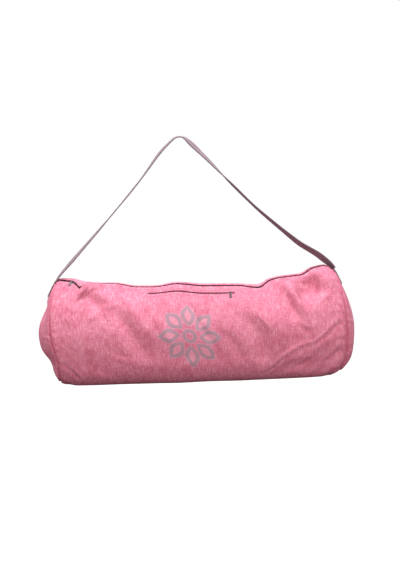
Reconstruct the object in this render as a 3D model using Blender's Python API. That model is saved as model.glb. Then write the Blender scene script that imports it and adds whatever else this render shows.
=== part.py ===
"""Yoga mat bag: a long cloth tube with crowned ends, a zip along its top, a zipped front pocket, and one long
shoulder strap that it hangs from. The origin is where the strap hangs, +X runs along the bag and -Y is its front."""

import math
from collections import namedtuple

import bmesh
import bpy
import numpy as np

# Body of the bag, in metres
BODY_LENGTH = 0.670
BODY_HEIGHT = 0.230
BODY_DEPTH = 0.160
CLOTH_WALL = 0.0015
SEWING_GAP = 0.0003
TOP_ROUNDNESS = 1.85
BASE_ROUNDNESS = 2.45

# Where the bag hangs below the hang point
HANG_DROP = 0.441
HANG_OFFSET = 0.023

# Shoulder strap
STRAP_WIDTH = 0.032
STRAP_THICKNESS = 0.0026
STRAP_SEWN_LENGTH = 0.036
STRAP_RISE = 0.007
STRAP_BEND = 0.020
HOOK_RADIUS = 0.020

# Zips
MAIN_ZIP_WINDOW = 0.0085
POCKET_ZIP_LENGTH = 0.205
POCKET_ZIP_SHARE = 0.478
POCKET_ZIP_DROP = 0.025
POCKET_ZIP_WINDOW = 0.0052
POCKET_SLIDER_SHARE = 0.95
MAIN_SLIDER_SHARE = 0.058
TAPE_REACH = 0.007
TAPE_THICKNESS = 0.0008
COIL_WIDTH = 0.0040
COIL_HEIGHT = 0.0016

# Slider and pull
SLIDER_LENGTH = 0.011
SLIDER_WIDTH = 0.0076
SLIDER_PLATE = 0.0013
BRIDGE_HEIGHT = 0.0034
BRIDGE_LENGTH = 0.0062
BRIDGE_BAR = 0.0010
PULL_LENGTH = 0.0150
PULL_WIDTH = 0.0052
PULL_THICKNESS = 0.0010
PULL_EYE_RADIUS = 0.0016
PULL_PLAY = 0.0004
PULL_LEAN_DEG = 11.0
EYE_BORE_SHARE = 0.56

# Mesh steps. The base of the bag lies between two shares of the girth.
BASE_START = 0.40
BASE_END = 0.56
LENGTH_STEPS = 42
FRONT_STEPS = 13
BASE_STEPS = 5
BACK_STEPS = 9
CROWN_RINGS = 5
STRAP_COLUMNS = 5
FOOT_ROWS = 5
LEG_ROWS = 18
HOOK_ROWS = 6
EYE_SIDES = 10

# Sections along the body. station: share of the body's length from the left end. crest and keel: heights above
# and below the body's axis, shares of BODY_HEIGHT. depth: share of BODY_DEPTH. forward: how far the main zip
# lies in front of the crest, share of BODY_DEPTH.
Section = namedtuple("Section", "station crest keel depth forward")
SECTIONS = (
    Section(0.00, 0.565, 0.470, 0.86, 0.09),
    Section(0.05, 0.565, 0.482, 0.92, 0.13),
    Section(0.08, 0.545, 0.484, 0.95, 0.18),
    Section(0.11, 0.520, 0.486, 0.97, 0.09),
    Section(0.14, 0.504, 0.487, 0.98, 0.04),
    Section(0.20, 0.500, 0.488, 1.00, 0.05),
    Section(0.28, 0.464, 0.492, 1.00, 0.08),
    Section(0.35, 0.457, 0.496, 0.98, 0.08),
    Section(0.43, 0.488, 0.502, 0.97, 0.11),
    Section(0.52, 0.464, 0.500, 0.97, 0.13),
    Section(0.65, 0.451, 0.506, 0.98, 0.13),
    Section(0.72, 0.437, 0.506, 0.99, 0.17),
    Section(0.77, 0.490, 0.506, 1.00, 0.11),
    Section(0.82, 0.508, 0.506, 1.00, 0.09),
    Section(0.88, 0.522, 0.506, 0.97, 0.09),
    Section(0.93, 0.582, 0.504, 0.93, 0.06),
    Section(0.97, 0.597, 0.498, 0.90, 0.05),
    Section(1.00, 0.570, 0.485, 0.85, 0.05),
)

# How far each end seam reaches from the middle, shares of half BODY_LENGTH. girth: share of the way round from
# the crest, over the front, under the base and up the back.
Reach = namedtuple("Reach", "girth left right")
REACHES = (
    Reach(0.00, 0.930, 0.945),
    Reach(0.08, 0.955, 0.966),
    Reach(0.16, 0.978, 0.988),
    Reach(0.26, 0.972, 0.998),
    Reach(0.36, 0.932, 0.990),
    Reach(0.43, 0.930, 0.964),
    Reach(0.50, 0.940, 0.952),
    Reach(0.60, 0.950, 0.950),
    Reach(0.75, 1.000, 1.000),
    Reach(0.88, 0.980, 0.980),
    Reach(1.00, 0.930, 0.945),
)

# The crowned ends. crown: how far the pole stands past half BODY_LENGTH, share of BODY_DEPTH. top_power and
# base_power: a low power falls straight from the pole to the seam, a high one bulges.
End = namedtuple("End", "side crown top_power base_power")
ENDS = (
    End(-1, 0.150, 1.4, 1.35),
    End(1, 0.148, 1.4, 3.6),
)

# Folds pressed into the cloth. Each runs from one place to another, given as a share of the body's length and a
# fall from the main zip as a share of the girth. bow: how far the middle of its run swings aside. depth: share of
# BODY_DEPTH, a ridge where negative. width: as bow, a share of BODY_HEIGHT. lip: the ridge raised beside the fold,
# a share of its depth, on the upper right of a run to the lower right.
Fold = namedtuple("Fold", "station fall to_station to_fall bow depth width lip")
FOLDS = (
    Fold(0.100, 0.030, 0.180, 0.110, 0.00, 0.050, 0.085, 0.90),
    Fold(0.205, 0.110, 0.310, 0.270, 0.02, 0.040, 0.090, 0.90),
    Fold(0.350, 0.130, 0.410, 0.260, 0.00, -0.020, 0.090, 0.00),
    Fold(0.460, 0.060, 0.550, 0.250, -0.03, 0.018, 0.060, 0.30),
    Fold(0.580, 0.170, 0.645, 0.275, 0.00, 0.024, 0.080, 0.50),
    Fold(0.655, 0.095, 0.720, 0.275, 0.10, 0.050, 0.090, 0.90),
    Fold(0.785, 0.035, 0.825, 0.175, 0.00, 0.045, 0.080, 0.80),
    Fold(0.845, 0.085, 0.900, 0.180, 0.03, -0.030, 0.070, 0.00),
    Fold(0.890, 0.025, 0.940, 0.125, 0.00, 0.065, 0.120, 0.40),
    Fold(0.728, 0.340, 0.985, 0.258, -0.01, 0.024, 0.060, 0.60),
    Fold(0.925, 0.390, 0.995, 0.330, 0.00, 0.024, 0.060, 0.60),
    Fold(0.030, 0.120, 0.060, 0.300, 0.00, 0.026, 0.080, 0.50),
    Fold(0.080, 0.640, 0.260, 0.860, 0.04, 0.050, 0.110, 0.60),
    Fold(0.330, 0.700, 0.480, 0.900, -0.03, 0.040, 0.110, 0.60),
    Fold(0.560, 0.880, 0.720, 0.680, 0.04, 0.045, 0.110, 0.60),
    Fold(0.780, 0.900, 0.930, 0.690, -0.03, 0.050, 0.110, 0.60),
)

# The pull's tab beyond its eye. reach: share of PULL_LENGTH. width: share of PULL_WIDTH.
Tab = namedtuple("Tab", "reach width")
TAB = (
    Tab(0.30, 0.65),
    Tab(0.45, 1.00),
    Tab(0.88, 1.00),
    Tab(1.00, 0.64),
)

# The strap's turn about its own length. way: share of the strap from its left end to its right end. turn_deg: how
# far its face is turned to the front. bow: how far it swings out of the straight, share of STRAP_WIDTH.
Turn = namedtuple("Turn", "way turn_deg bow")
STRAP_TURNS = (
    Turn(0.00, 0.0, 0.0),
    Turn(0.05, 8.0, 0.0),
    Turn(0.12, 12.0, 0.03),
    Turn(0.25, 3.0, 0.08),
    Turn(0.34, 5.0, 0.04),
    Turn(0.43, 10.0, -0.14),
    Turn(0.48, 7.0, -0.02),
    Turn(0.52, 24.0, 0.02),
    Turn(0.57, 16.0, 0.10),
    Turn(0.64, 2.0, 0.27),
    Turn(0.74, -2.0, 0.42),
    Turn(0.85, -12.0, 0.34),
    Turn(0.92, -18.0, 0.03),
    Turn(0.96, -12.0, 0.0),
    Turn(1.00, 0.0, 0.0),
)

FOLD_END_SHARPNESS = 1.2
LIP_OFFSET = 1.9
AXIS_Z = -HANG_DROP
GRID_STATIONS = 321
GRID_GIRTHS = 601
FINISHES = {
    "pink_cloth": ((0.62, 0.20, 0.30, 1.0), 0.85, 0.0),
    "zip_tape": ((0.10, 0.03, 0.05, 1.0), 0.80, 0.0),
    "zip_coil": ((0.07, 0.03, 0.04, 1.0), 0.45, 0.0),
    "zip_metal": ((0.35, 0.34, 0.36, 1.0), 0.30, 1.0),
}


def make_material(name, finish):
    """The plain material of one piece, in the colour of its kind."""
    colour, roughness, metallic = FINISHES[finish]
    made = bpy.data.materials.new(f"{name}_{finish}")
    made.use_nodes = True
    shader = made.node_tree.nodes["Principled BSDF"]
    shader.inputs["Base Color"].default_value = colour
    shader.inputs["Roughness"].default_value = roughness
    shader.inputs["Metallic"].default_value = metallic
    return made


def eased(rows, along, column, places):
    """A table's column between its rows, on a curve that never overshoots a row."""
    x = np.array([getattr(row, along) for row in rows])
    y = np.array([getattr(row, column) for row in rows])
    slope = np.diff(y) / np.diff(x)
    tangent = np.zeros(len(x))
    same = slope[:-1] * slope[1:] > 0
    mean = 2 * slope[:-1] * slope[1:] / np.where(same, slope[:-1] + slope[1:], 1)
    tangent[1:-1] = np.where(same, mean, 0)
    place = np.clip(places, x[0], x[-1])
    cell = np.clip(np.searchsorted(x, place, side="right") - 1, 0, len(x) - 2)
    width = x[cell + 1] - x[cell]
    t = (place - x[cell]) / width
    start = (2 * t**3 - 3 * t**2 + 1) * y[cell] + (t**3 - 2 * t**2 + t) * width * tangent[cell]
    end = (3 * t**2 - 2 * t**3) * y[cell + 1] + (t**3 - t**2) * width * tangent[cell + 1]
    return start + end


def section_outline(station, angles):
    """The body's cross-section as y and z, from the crest over the front."""
    crest, keel, depth = (eased(SECTIONS, "station", name, station) for name in ("crest", "keel", "depth"))
    upper = np.cos(angles) > 0
    power = 2 / np.where(upper, TOP_ROUNDNESS, BASE_ROUNDNESS)
    height = np.where(upper, crest, keel) * BODY_HEIGHT
    z = height * np.sign(np.cos(angles)) * np.abs(np.cos(angles)) ** power
    y = -depth * BODY_DEPTH / 2 * np.sign(np.sin(angles)) * np.abs(np.sin(angles)) ** power
    return y, z


def fold_depth(length_along, fall):
    """How far the folds press the cloth in, at places given in metres on the flat sheet."""
    girth = GIRTH.mean()
    pressed = np.zeros_like(fall)
    for fold in FOLDS:
        start = np.array([fold.station * BODY_LENGTH, fold.fall * girth])
        run = np.array([fold.to_station * BODY_LENGTH, fold.to_fall * girth]) - start
        size = np.hypot(*run)
        run = run / size
        along = ((length_along - start[0]) * run[0] + (fall - start[1]) * run[1]) / size
        aside = (length_along - start[0]) * run[1] - (fall - start[1]) * run[0]
        swing = fold.bow * BODY_HEIGHT * (1 - np.clip(2 * along - 1, -1, 1) ** 2)
        across = (aside - swing) / (fold.width * BODY_HEIGHT / 2)
        taper = np.exp(-FOLD_END_SHARPNESS * (2 * along - 1) ** 4)
        profile = np.exp(-(across**2)) - fold.lip * np.exp(-((across - LIP_OFFSET) ** 2))
        pressed += fold.depth * BODY_DEPTH * taper * profile
    return pressed


def normals_of(points):
    """Outward unit normals of the closed grid of the body's skin."""
    along = np.gradient(points, axis=0)
    closed = np.concatenate([points[:, -3:-1], points, points[:, 1:3]], axis=1)
    around = np.gradient(closed, axis=1)[:, 2:-2]
    cross = np.cross(around, along)
    return cross / np.linalg.norm(cross, axis=2, keepdims=True)


def make_skin():
    """The body's outer skin on an even grid of stations and girth shares: its points, normals and girths."""
    stations = np.linspace(0, 1, GRID_STATIONS)
    girths = np.linspace(0, 1, GRID_GIRTHS)
    angles = np.linspace(0, 2 * math.pi, 4 * GRID_GIRTHS)
    points = np.zeros((GRID_STATIONS, GRID_GIRTHS, 3))
    girth = np.zeros(GRID_STATIONS)
    for row, station in enumerate(stations):
        y, z = section_outline(station, angles)
        way = np.concatenate([[0], np.cumsum(np.hypot(np.diff(y), np.diff(z)))])
        girth[row] = way[-1]
        points[row, :, 1] = np.interp(girths, way / way[-1], y)
        points[row, :, 2] = np.interp(girths, way / way[-1], z) + AXIS_Z
    left, right = (eased(REACHES, "girth", side, girths) * BODY_LENGTH / 2 for side in ("left", "right"))
    points[:, :, 0] = HANG_OFFSET - left + stations[:, None] * (left + right)
    return points, girth


def press_folds(points):
    """Presses the folds into the skin, fading at the end seams and beside the main zip."""
    stations = np.linspace(0, 1, GRID_STATIONS)[:, None]
    girths = np.linspace(0, 1, GRID_GIRTHS)[None, :]
    fall = np.mod(girths * GIRTH[:, None] - ZIP_FORWARD[:, None], GIRTH[:, None])
    from_zip = np.minimum(fall, GIRTH[:, None] - fall)
    from_seam = np.minimum(stations, 1 - stations) * BODY_LENGTH
    quiet = MAIN_ZIP_WINDOW / 2 + TAPE_REACH
    fade = np.clip((from_zip - quiet) / quiet, 0, 1) * np.clip(from_seam / quiet, 0, 1)
    pressed = fold_depth(stations * BODY_LENGTH + 0 * girths, fall) * fade
    return points - normals_of(points) * pressed[:, :, None]


BARE_SKIN, GIRTH = make_skin()
ZIP_FORWARD = eased(SECTIONS, "station", "forward", np.linspace(0, 1, GRID_STATIONS)) * BODY_DEPTH
SKIN = press_folds(BARE_SKIN)
SKIN_NORMALS = normals_of(SKIN)


def read_grid(grid, station, girth):
    """A value of a skin grid between its points."""
    row = np.clip(np.asarray(station) * (GRID_STATIONS - 1), 0, GRID_STATIONS - 1.000001)
    col = np.mod(np.asarray(girth), 1.0) * (GRID_GIRTHS - 1)
    r, c = row.astype(int), np.minimum(col.astype(int), GRID_GIRTHS - 2)
    a, b = (row - r)[..., None], (col - c)[..., None]
    near = grid[r, c] * (1 - b) + grid[r, c + 1] * b
    far = grid[r + 1, c] * (1 - b) + grid[r + 1, c + 1] * b
    return near * (1 - a) + far * a


def on_skin(station, fall, sunk=0.0):
    """Points of the cloth at a share of the length and a fall from the main zip in metres, sunk below its face."""
    station, fall = np.broadcast_arrays(np.asarray(station, float), np.asarray(fall, float))
    row = station * (GRID_STATIONS - 1)
    steps = np.arange(GRID_STATIONS)
    girth = (np.interp(row, steps, ZIP_FORWARD) + fall) / np.interp(row, steps, GIRTH)
    normal = read_grid(SKIN_NORMALS, station, girth)
    normal = normal / np.linalg.norm(normal, axis=-1, keepdims=True)
    return read_grid(SKIN, station, girth) - normal * sunk


def add_solid(name, points, faces, finish):
    """One closed, smooth-shaded object."""
    mesh = bpy.data.meshes.new(name)
    mesh.from_pydata([tuple(map(float, point)) for point in points], [], faces)
    work = bmesh.new()
    work.from_mesh(mesh)
    bmesh.ops.recalc_face_normals(work, faces=work.faces)
    work.to_mesh(mesh)
    work.free()
    mesh.materials.append(make_material(name, finish))
    mesh.shade_smooth()
    mesh.set_sharp_from_angle(angle=math.radians(40))
    made = bpy.data.objects.new(name, mesh)
    bpy.context.scene.collection.objects.link(made)
    return made


def thicken(name, face, back, cells, finish):
    """A solid between two like sheets of points, walled along every open edge of the cells."""
    count = len(face)
    sides = {(cell[i - 1], cell[i]) for cell in cells for i in range(len(cell))}
    walls = [(b, a, a + count, b + count) for a, b in sides if (b, a) not in sides]
    backs = [tuple(i + count for i in (cell[0], *reversed(cell[1:]))) for cell in cells]
    return add_solid(name, np.concatenate([face, back]), list(cells) + backs + sorted(walls), finish)


def grid_cells(rows, columns, keep=lambda row, column: True):
    """The four-sided cells of a grid of points, without those that keep refuses."""
    return [
        (r * columns + c, (r + 1) * columns + c, (r + 1) * columns + c + 1, r * columns + c + 1)
        for r in range(rows - 1)
        for c in range(columns - 1)
        if keep(r, c)
    ]


def pocket_stations():
    """The stations of the pocket zip's tape end, window end, window end and tape end."""
    half = POCKET_ZIP_LENGTH / 2 / BODY_LENGTH
    past = TAPE_REACH / BODY_LENGTH
    return [
        POCKET_ZIP_SHARE - half - past,
        POCKET_ZIP_SHARE - half,
        POCKET_ZIP_SHARE + half,
        POCKET_ZIP_SHARE + half + past,
    ]


def pocket_slider_station():
    """Where the pocket's slider stands along the bag."""
    _, window_start, window_end, _ = pocket_stations()
    return window_start + (window_end - window_start) * POCKET_SLIDER_SHARE


def slider_ends(station):
    """The stations of a slider's two ends."""
    half = SLIDER_LENGTH / 2 / BODY_LENGTH
    return [station - half, station + half]


def body_stations():
    """Even stations along the body, with those near the pocket's or a slider's stations moved onto them."""
    stations = np.linspace(0, 1, LENGTH_STEPS + 1)
    step = 1 / LENGTH_STEPS
    special = pocket_stations() + slider_ends(MAIN_SLIDER_SHARE) + slider_ends(pocket_slider_station())
    kept = [s for s in stations if min(abs(s - p) for p in special) > step / 3]
    return np.array(sorted(kept + special))


def zip_falls(middle, window):
    """The falls of a zip's tape edge, window edge, window edge and tape edge."""
    half = window / 2
    return [middle - half - TAPE_REACH, middle - half, middle + half, middle + half + TAPE_REACH]


def body_falls(station):
    """The falls of the body's mesh lines, from the zip's front edge down the front and up the back."""
    girth = np.interp(station * (GRID_STATIONS - 1), np.arange(GRID_STATIONS), GIRTH)
    _, _, main_edge, main_tape = zip_falls(0.0, MAIN_ZIP_WINDOW)
    near = [main_edge, main_tape, *zip_falls(POCKET_ZIP_DROP, POCKET_ZIP_WINDOW)]
    front = np.linspace(near[-1], BASE_START * girth, FRONT_STEPS + 1)[1:]
    base = np.linspace(BASE_START * girth, BASE_END * girth, BASE_STEPS + 1)[1:]
    back = np.linspace(BASE_END * girth, girth - main_tape, BACK_STEPS + 1)[1:]
    return np.concatenate([near, front, base, back, [girth - main_edge]])


def make_body_panel():
    """The one sheet of the body, hollow, open along the main zip and at the pocket's window."""
    stations = body_stations()
    falls = np.array([body_falls(station) for station in stations])
    rows, columns = falls.shape
    places = np.repeat(stations, columns)
    _, window_start, window_end, _ = pocket_stations()
    window_column = 3

    def keep(row, column):
        in_window = window_start - 1e-6 < stations[row] < window_end - 1e-6
        return not (in_window and column == window_column)

    face = on_skin(places, falls.ravel())
    back = on_skin(places, falls.ravel(), CLOTH_WALL)
    thicken("body_panel", face, back, grid_cells(rows, columns, keep), "pink_cloth")


def rim_girths(side):
    """Girth shares of the body's mesh lines at an end, with the main zip's middle, in order round the seam."""
    station = 0.0 if side < 0 else 1.0
    row = 0 if side < 0 else -1
    falls = np.concatenate([body_falls(station), [GIRTH[row]]])
    return (falls + ZIP_FORWARD[row]) / GIRTH[row]


def end_pole(end):
    """The crowned end's farthest point along the bag."""
    return HANG_OFFSET + end.side * (BODY_LENGTH / 2 + end.crown * BODY_DEPTH)


def end_surface(end, share, girth):
    """Points of a crowned end between its pole, share 0, and its seam, share 1."""
    station = np.zeros_like(girth) if end.side < 0 else np.ones_like(girth)
    rim = read_grid(SKIN, station, girth)
    middle = np.array([0.0, AXIS_Z])
    upness = (1 + np.cos(2 * math.pi * girth)) / 2
    power = end.base_power + (end.top_power - end.base_power) * upness
    pole = end_pole(end)
    points = np.empty_like(rim)
    points[..., 0] = pole + (rim[..., 0] - pole) * share**power
    points[..., 1:] = middle + (rim[..., 1:] - middle) * share[..., None]
    return points


def make_end_panel(end, name):
    """One crowned end, its edge standing a sewing gap off the body's end."""
    side = end.side
    girths = rim_girths(side)
    count = len(girths)
    shares = np.linspace(1, 0, CROWN_RINGS + 1)[:-1] ** 0.8
    share_grid, girth_grid = np.meshgrid(shares, girths, indexing="ij")
    face = end_surface(end, share_grid.ravel(), girth_grid.ravel())
    face = np.vstack([face, [[end_pole(end), 0.0, AXIS_Z]]])
    inner = face + np.array([side * SEWING_GAP, 0.0, 0.0])
    outer = face + np.array([side * (SEWING_GAP + CLOTH_WALL), 0.0, 0.0])
    cells = []
    for ring in range(len(shares) - 1):
        for i in range(count):
            j = (i + 1) % count
            cells.append((ring * count + i, ring * count + j, (ring + 1) * count + j, (ring + 1) * count + i))
    last = (len(shares) - 1) * count
    pole = len(face) - 1
    cells += [(last + i, last + (i + 1) % count, pole) for i in range(count)]
    thicken(name, outer, inner, cells, "pink_cloth")


def make_strip(name, stations, falls, sunk, thickness, finish):
    """A thin strip that follows the cloth, between two falls, its face sunk below the cloth's face."""
    places = np.repeat(stations, len(falls))
    spread = np.tile(falls, len(stations))
    face = on_skin(places, spread, sunk)
    back = on_skin(places, spread, sunk + thickness)
    thicken(name, face, back, grid_cells(len(stations), len(falls)), finish)


def make_zip(name, stations, coil_stations, middle, window, tape_names):
    """A closed zip behind a window in the cloth: two tapes that nearly meet, and the coil along them."""
    low, edge, far_edge, high = zip_falls(middle, window)
    part = SEWING_GAP / 2
    upper, lower = (f"{name}_{side}" for side in tape_names)
    sunk = CLOTH_WALL + SEWING_GAP
    make_strip(upper, stations, [low, edge, middle - part], sunk, TAPE_THICKNESS, "zip_tape")
    make_strip(lower, stations, [middle + part, far_edge, high], sunk, TAPE_THICKNESS, "zip_tape")
    coil = [middle - COIL_WIDTH / 2, middle + COIL_WIDTH / 2]
    make_strip(f"{name}_coil", coil_stations, coil, CLOTH_WALL - COIL_HEIGHT, COIL_HEIGHT, "zip_coil")


def make_main_zip():
    stations = body_stations()
    make_zip("main_zip", stations, stations, 0.0, MAIN_ZIP_WINDOW, ("tape_back", "tape_front"))


def make_pocket_zip():
    tape_start, window_start, window_end, tape_end = pocket_stations()
    stations = [s for s in body_stations() if tape_start - 1e-6 < s < tape_end + 1e-6]
    inside = [s for s in stations if window_start + 1e-6 < s < window_end - 1e-6]
    play = SEWING_GAP / BODY_LENGTH
    coil = [window_start + play, *inside, window_end - play]
    make_zip("pocket_zip", stations, coil, POCKET_ZIP_DROP, POCKET_ZIP_WINDOW, ("tape_upper", "tape_lower"))


def slider_seat(station, fall):
    """The place of a slider's foot, a sewing gap above the coil, and its ways along, outward and down."""
    start, end = (on_skin(place, fall) for place in slider_ends(station))
    along = (end - start) / np.linalg.norm(end - start)
    low, high = on_skin(station, fall - SLIDER_WIDTH / 2), on_skin(station, fall + SLIDER_WIDTH / 2)
    outward = np.cross(high - low, along)
    outward /= np.linalg.norm(outward)
    lift = COIL_HEIGHT - CLOTH_WALL + SEWING_GAP
    return (start + end) / 2 + outward * lift, along, outward, np.cross(along, outward)


def slider_profile():
    """The slider seen from its side: its plate, two posts and bridge, as points (along, out, half width)."""
    half, post = SLIDER_LENGTH / 2, BRIDGE_LENGTH / 2
    across = [-half, -post, -post + BRIDGE_BAR, post - BRIDGE_BAR, post, half]
    up = [0.0, SLIDER_PLATE, BRIDGE_HEIGHT - BRIDGE_BAR / 2, BRIDGE_HEIGHT + BRIDGE_BAR / 2]
    widths = [SLIDER_WIDTH / 2, SLIDER_WIDTH / 2, BRIDGE_BAR / 2, BRIDGE_BAR / 2]
    points = [(a, u, w) for a in across for u, w in zip(up, widths)]
    in_plate = [(column, 0) for column in range(5)]
    in_bridge = [(1, 1), (3, 1), (1, 2), (2, 2), (3, 2)]
    cells = []
    for a, u in in_plate + in_bridge:
        corner = a * 4 + u
        cells.append((corner, corner + 4, corner + 5, corner + 1))
    return points, cells


def pull_profile():
    """The pull seen from its side: a rolled eye and the tab that runs from it, as (down, out, half width)."""
    bore = PULL_EYE_RADIUS * EYE_BORE_SHARE
    eye_half = BRIDGE_LENGTH / 2 - BRIDGE_BAR - PULL_PLAY
    turns = [2 * math.pi * (i + 0.5) / EYE_SIDES for i in range(EYE_SIDES)]
    points = [(PULL_EYE_RADIUS * math.cos(t), PULL_EYE_RADIUS * math.sin(t), eye_half) for t in turns]
    points += [(bore * math.cos(t), bore * math.sin(t), eye_half) for t in turns]
    n = EYE_SIDES
    cells = [(i, (i + 1) % n, n + (i + 1) % n, n + i) for i in range(n)]
    last = (n - 1, 0)
    for tab in TAB:
        low, high = len(points), len(points) + 1
        reach, width = PULL_LENGTH * tab.reach, PULL_WIDTH * tab.width / 2
        points += [(reach, -PULL_THICKNESS / 2, width), (reach, PULL_THICKNESS / 2, width)]
        cells.append((last[0], low, high, last[1]))
        last = (low, high)
    return points, cells


def swept(name, points, cells, origin, first, second, width_way, finish):
    """A solid from a side view: each point has its own half width to either side."""
    flat = np.array([[p[0], p[1]] for p in points])
    half = np.array([p[2] for p in points])[:, None]
    middle = np.asarray(origin) + flat[:, :1] * first + flat[:, 1:] * second
    return thicken(name, middle + half * width_way, middle - half * width_way, cells, finish)


def make_slider(name, station, fall):
    """A slider on the coil, and the pull that hangs from its bridge and swings about the bar."""
    seat, along, outward, down = slider_seat(station, fall)
    points, cells = slider_profile()
    swept(f"{name}_slider", points, cells, seat, along, outward, down, "zip_metal")
    lean = math.radians(PULL_LEAN_DEG)
    hangs = down * math.cos(lean) - outward * math.sin(lean)
    axis = seat + outward * BRIDGE_HEIGHT
    points, cells = pull_profile()
    made = swept(f"{name}_pull", points, cells, [0, 0, 0], hangs, np.cross(hangs, along), along, "zip_metal")
    made.location = axis


def end_face(end, y, z):
    """The outer face of a crowned end at a place given by y and z."""
    side = end.side
    loop = np.linspace(0, 1, GRID_GIRTHS)
    rim = SKIN[0 if side < 0 else -1]
    bearing = np.mod(np.arctan2(-rim[:, 1], rim[:, 2] - AXIS_Z), 2 * math.pi)
    order = np.argsort(bearing[:-1])
    wanted = np.mod(np.arctan2(-y, z - AXIS_Z), 2 * math.pi)
    girth = np.interp(wanted, bearing[order], loop[order], period=2 * math.pi)
    girth = np.where(np.cos(wanted) > 0.999, np.mod(girth, 1.0), girth)
    station = np.zeros_like(girth) if side < 0 else np.ones_like(girth)
    reach = read_grid(SKIN, station, girth)
    share = np.hypot(y, z - AXIS_Z) / np.hypot(reach[..., 1], reach[..., 2] - AXIS_Z)
    x = end_surface(end, np.minimum(share, 1.0), girth)[..., 0]
    return x + side * (SEWING_GAP + CLOTH_WALL)


def strap_foot(end):
    """The strap's way over an end panel, from its sewn end up to the seam, as x and z in the bag's middle plane."""
    top = SKIN[0 if end.side < 0 else -1, 0]
    z = np.linspace(top[2] - STRAP_SEWN_LENGTH, top[2], FOOT_ROWS)
    x = end_face(end, np.zeros_like(z), z) + end.side * (SEWING_GAP + STRAP_THICKNESS / 2)
    return np.stack([x, z], axis=1)


def strap_line():
    """The strap's middle line in the bag's middle plane, from its left end over the hook to its right end."""
    radius = HOOK_RADIUS + STRAP_THICKNESS / 2
    centre = np.array([0.0, -HOOK_RADIUS])
    halves = []
    for end in ENDS:
        side = end.side
        foot = strap_foot(end)
        rise = (foot[-1] - foot[-2]) / np.linalg.norm(foot[-1] - foot[-2])
        corner = foot[-1] + rise * STRAP_RISE
        gap = centre - corner
        distance = np.hypot(*gap)
        bearing = math.atan2(gap[1], gap[0]) - side * math.asin(radius / distance)
        way = np.array([math.cos(bearing), math.sin(bearing)])
        touch = corner + way * math.sqrt(distance**2 - radius**2)
        bend_end = corner + way * STRAP_BEND
        bend = [
            (1 - t) ** 2 * foot[-1] + 2 * t * (1 - t) * corner + t**2 * bend_end
            for t in np.linspace(0, 1, FOOT_ROWS + 1)[1:]
        ]
        leg = [bend_end + (touch - bend_end) * t for t in np.linspace(0, 1, LEG_ROWS)[1:]]
        start = math.atan2(*(touch - centre)[::-1])
        arc = [
            centre + radius * np.array([math.cos(a), math.sin(a)])
            for a in np.linspace(start, math.pi / 2, HOOK_ROWS)[1:]
        ]
        halves.append(np.array([*foot, *bend, *leg, *arc]))
    return np.vstack([halves[0], halves[1][::-1][1:]])


def make_strap():
    """One strap of even width that turns about its own length, sewn flat to both end panels."""
    line = strap_line()
    steps = np.linalg.norm(np.diff(line, axis=0), axis=1)
    way = np.concatenate([[0], np.cumsum(steps)]) / steps.sum()
    tangent = np.gradient(line, axis=0)
    tangent /= np.linalg.norm(tangent, axis=1, keepdims=True)
    turn = np.radians(eased(STRAP_TURNS, "way", "turn_deg", way))
    bow = eased(STRAP_TURNS, "way", "bow", way) * STRAP_WIDTH
    up = np.stack([-tangent[:, 1], np.zeros(len(way)), tangent[:, 0]], axis=1)
    middle = np.stack([line[:, 0], np.zeros(len(way)), line[:, 1]], axis=1) - up * bow[:, None]
    across = np.cos(turn)[:, None] * np.array([0.0, 1.0, 0.0]) + np.sin(turn)[:, None] * up
    facing = np.cos(turn)[:, None] * up - np.sin(turn)[:, None] * np.array([0.0, 1.0, 0.0])
    offsets = np.linspace(-0.5, 0.5, STRAP_COLUMNS) * STRAP_WIDTH
    sheet = middle[:, None, :] + offsets[None, :, None] * across[:, None, :]
    for end, rows in zip(ENDS, (range(FOOT_ROWS), range(len(way) - FOOT_ROWS, len(way)))):
        for row in rows:
            y, z = sheet[row, :, 1], sheet[row, :, 2]
            sheet[row, :, 0] = end_face(end, y, z) + end.side * (SEWING_GAP + STRAP_THICKNESS / 2)
    half = facing[:, None, :] * STRAP_THICKNESS / 2 + 0 * sheet
    cells = grid_cells(len(way), len(offsets))
    thicken("shoulder_strap", (sheet + half).reshape(-1, 3), (sheet - half).reshape(-1, 3), cells, "pink_cloth")


def main():
    for old in list(bpy.data.objects):
        bpy.data.objects.remove(old)
    make_body_panel()
    for end, name in zip(ENDS, ("end_panel_left", "end_panel_right")):
        make_end_panel(end, name)
    make_main_zip()
    make_pocket_zip()
    make_slider("main_zip", MAIN_SLIDER_SHARE, 0.0)
    make_slider("pocket_zip", pocket_slider_station(), POCKET_ZIP_DROP)
    make_strap()


main()
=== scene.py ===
import math
from collections import namedtuple
from functools import partial
from itertools import pairwise

import bpy
import numpy as np
from mathutils import Matrix, Vector


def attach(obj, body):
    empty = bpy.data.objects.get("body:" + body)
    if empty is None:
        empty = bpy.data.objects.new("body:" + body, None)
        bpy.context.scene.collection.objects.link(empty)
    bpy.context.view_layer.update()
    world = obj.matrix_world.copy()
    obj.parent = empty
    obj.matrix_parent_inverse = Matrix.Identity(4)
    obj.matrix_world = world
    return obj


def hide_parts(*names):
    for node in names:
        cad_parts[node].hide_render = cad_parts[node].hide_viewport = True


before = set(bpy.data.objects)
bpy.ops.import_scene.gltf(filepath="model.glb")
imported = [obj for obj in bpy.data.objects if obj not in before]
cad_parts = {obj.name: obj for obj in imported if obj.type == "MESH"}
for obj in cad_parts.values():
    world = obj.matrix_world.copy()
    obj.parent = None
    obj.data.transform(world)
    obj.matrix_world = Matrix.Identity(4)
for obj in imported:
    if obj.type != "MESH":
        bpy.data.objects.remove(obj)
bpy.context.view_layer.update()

# Camera
# The photograph is taken nearly level, a little from the left, and the bag rises to the right in it, which
# comes from a slightly rolled camera. The bag's middle lies at the given pixel of the 400 by 570 picture.
PICTURE_WIDTH, PICTURE_HEIGHT = 400, 570
METRES_PER_PIXEL = 0.002305
CAMERA_DISTANCE = 2.0
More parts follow.
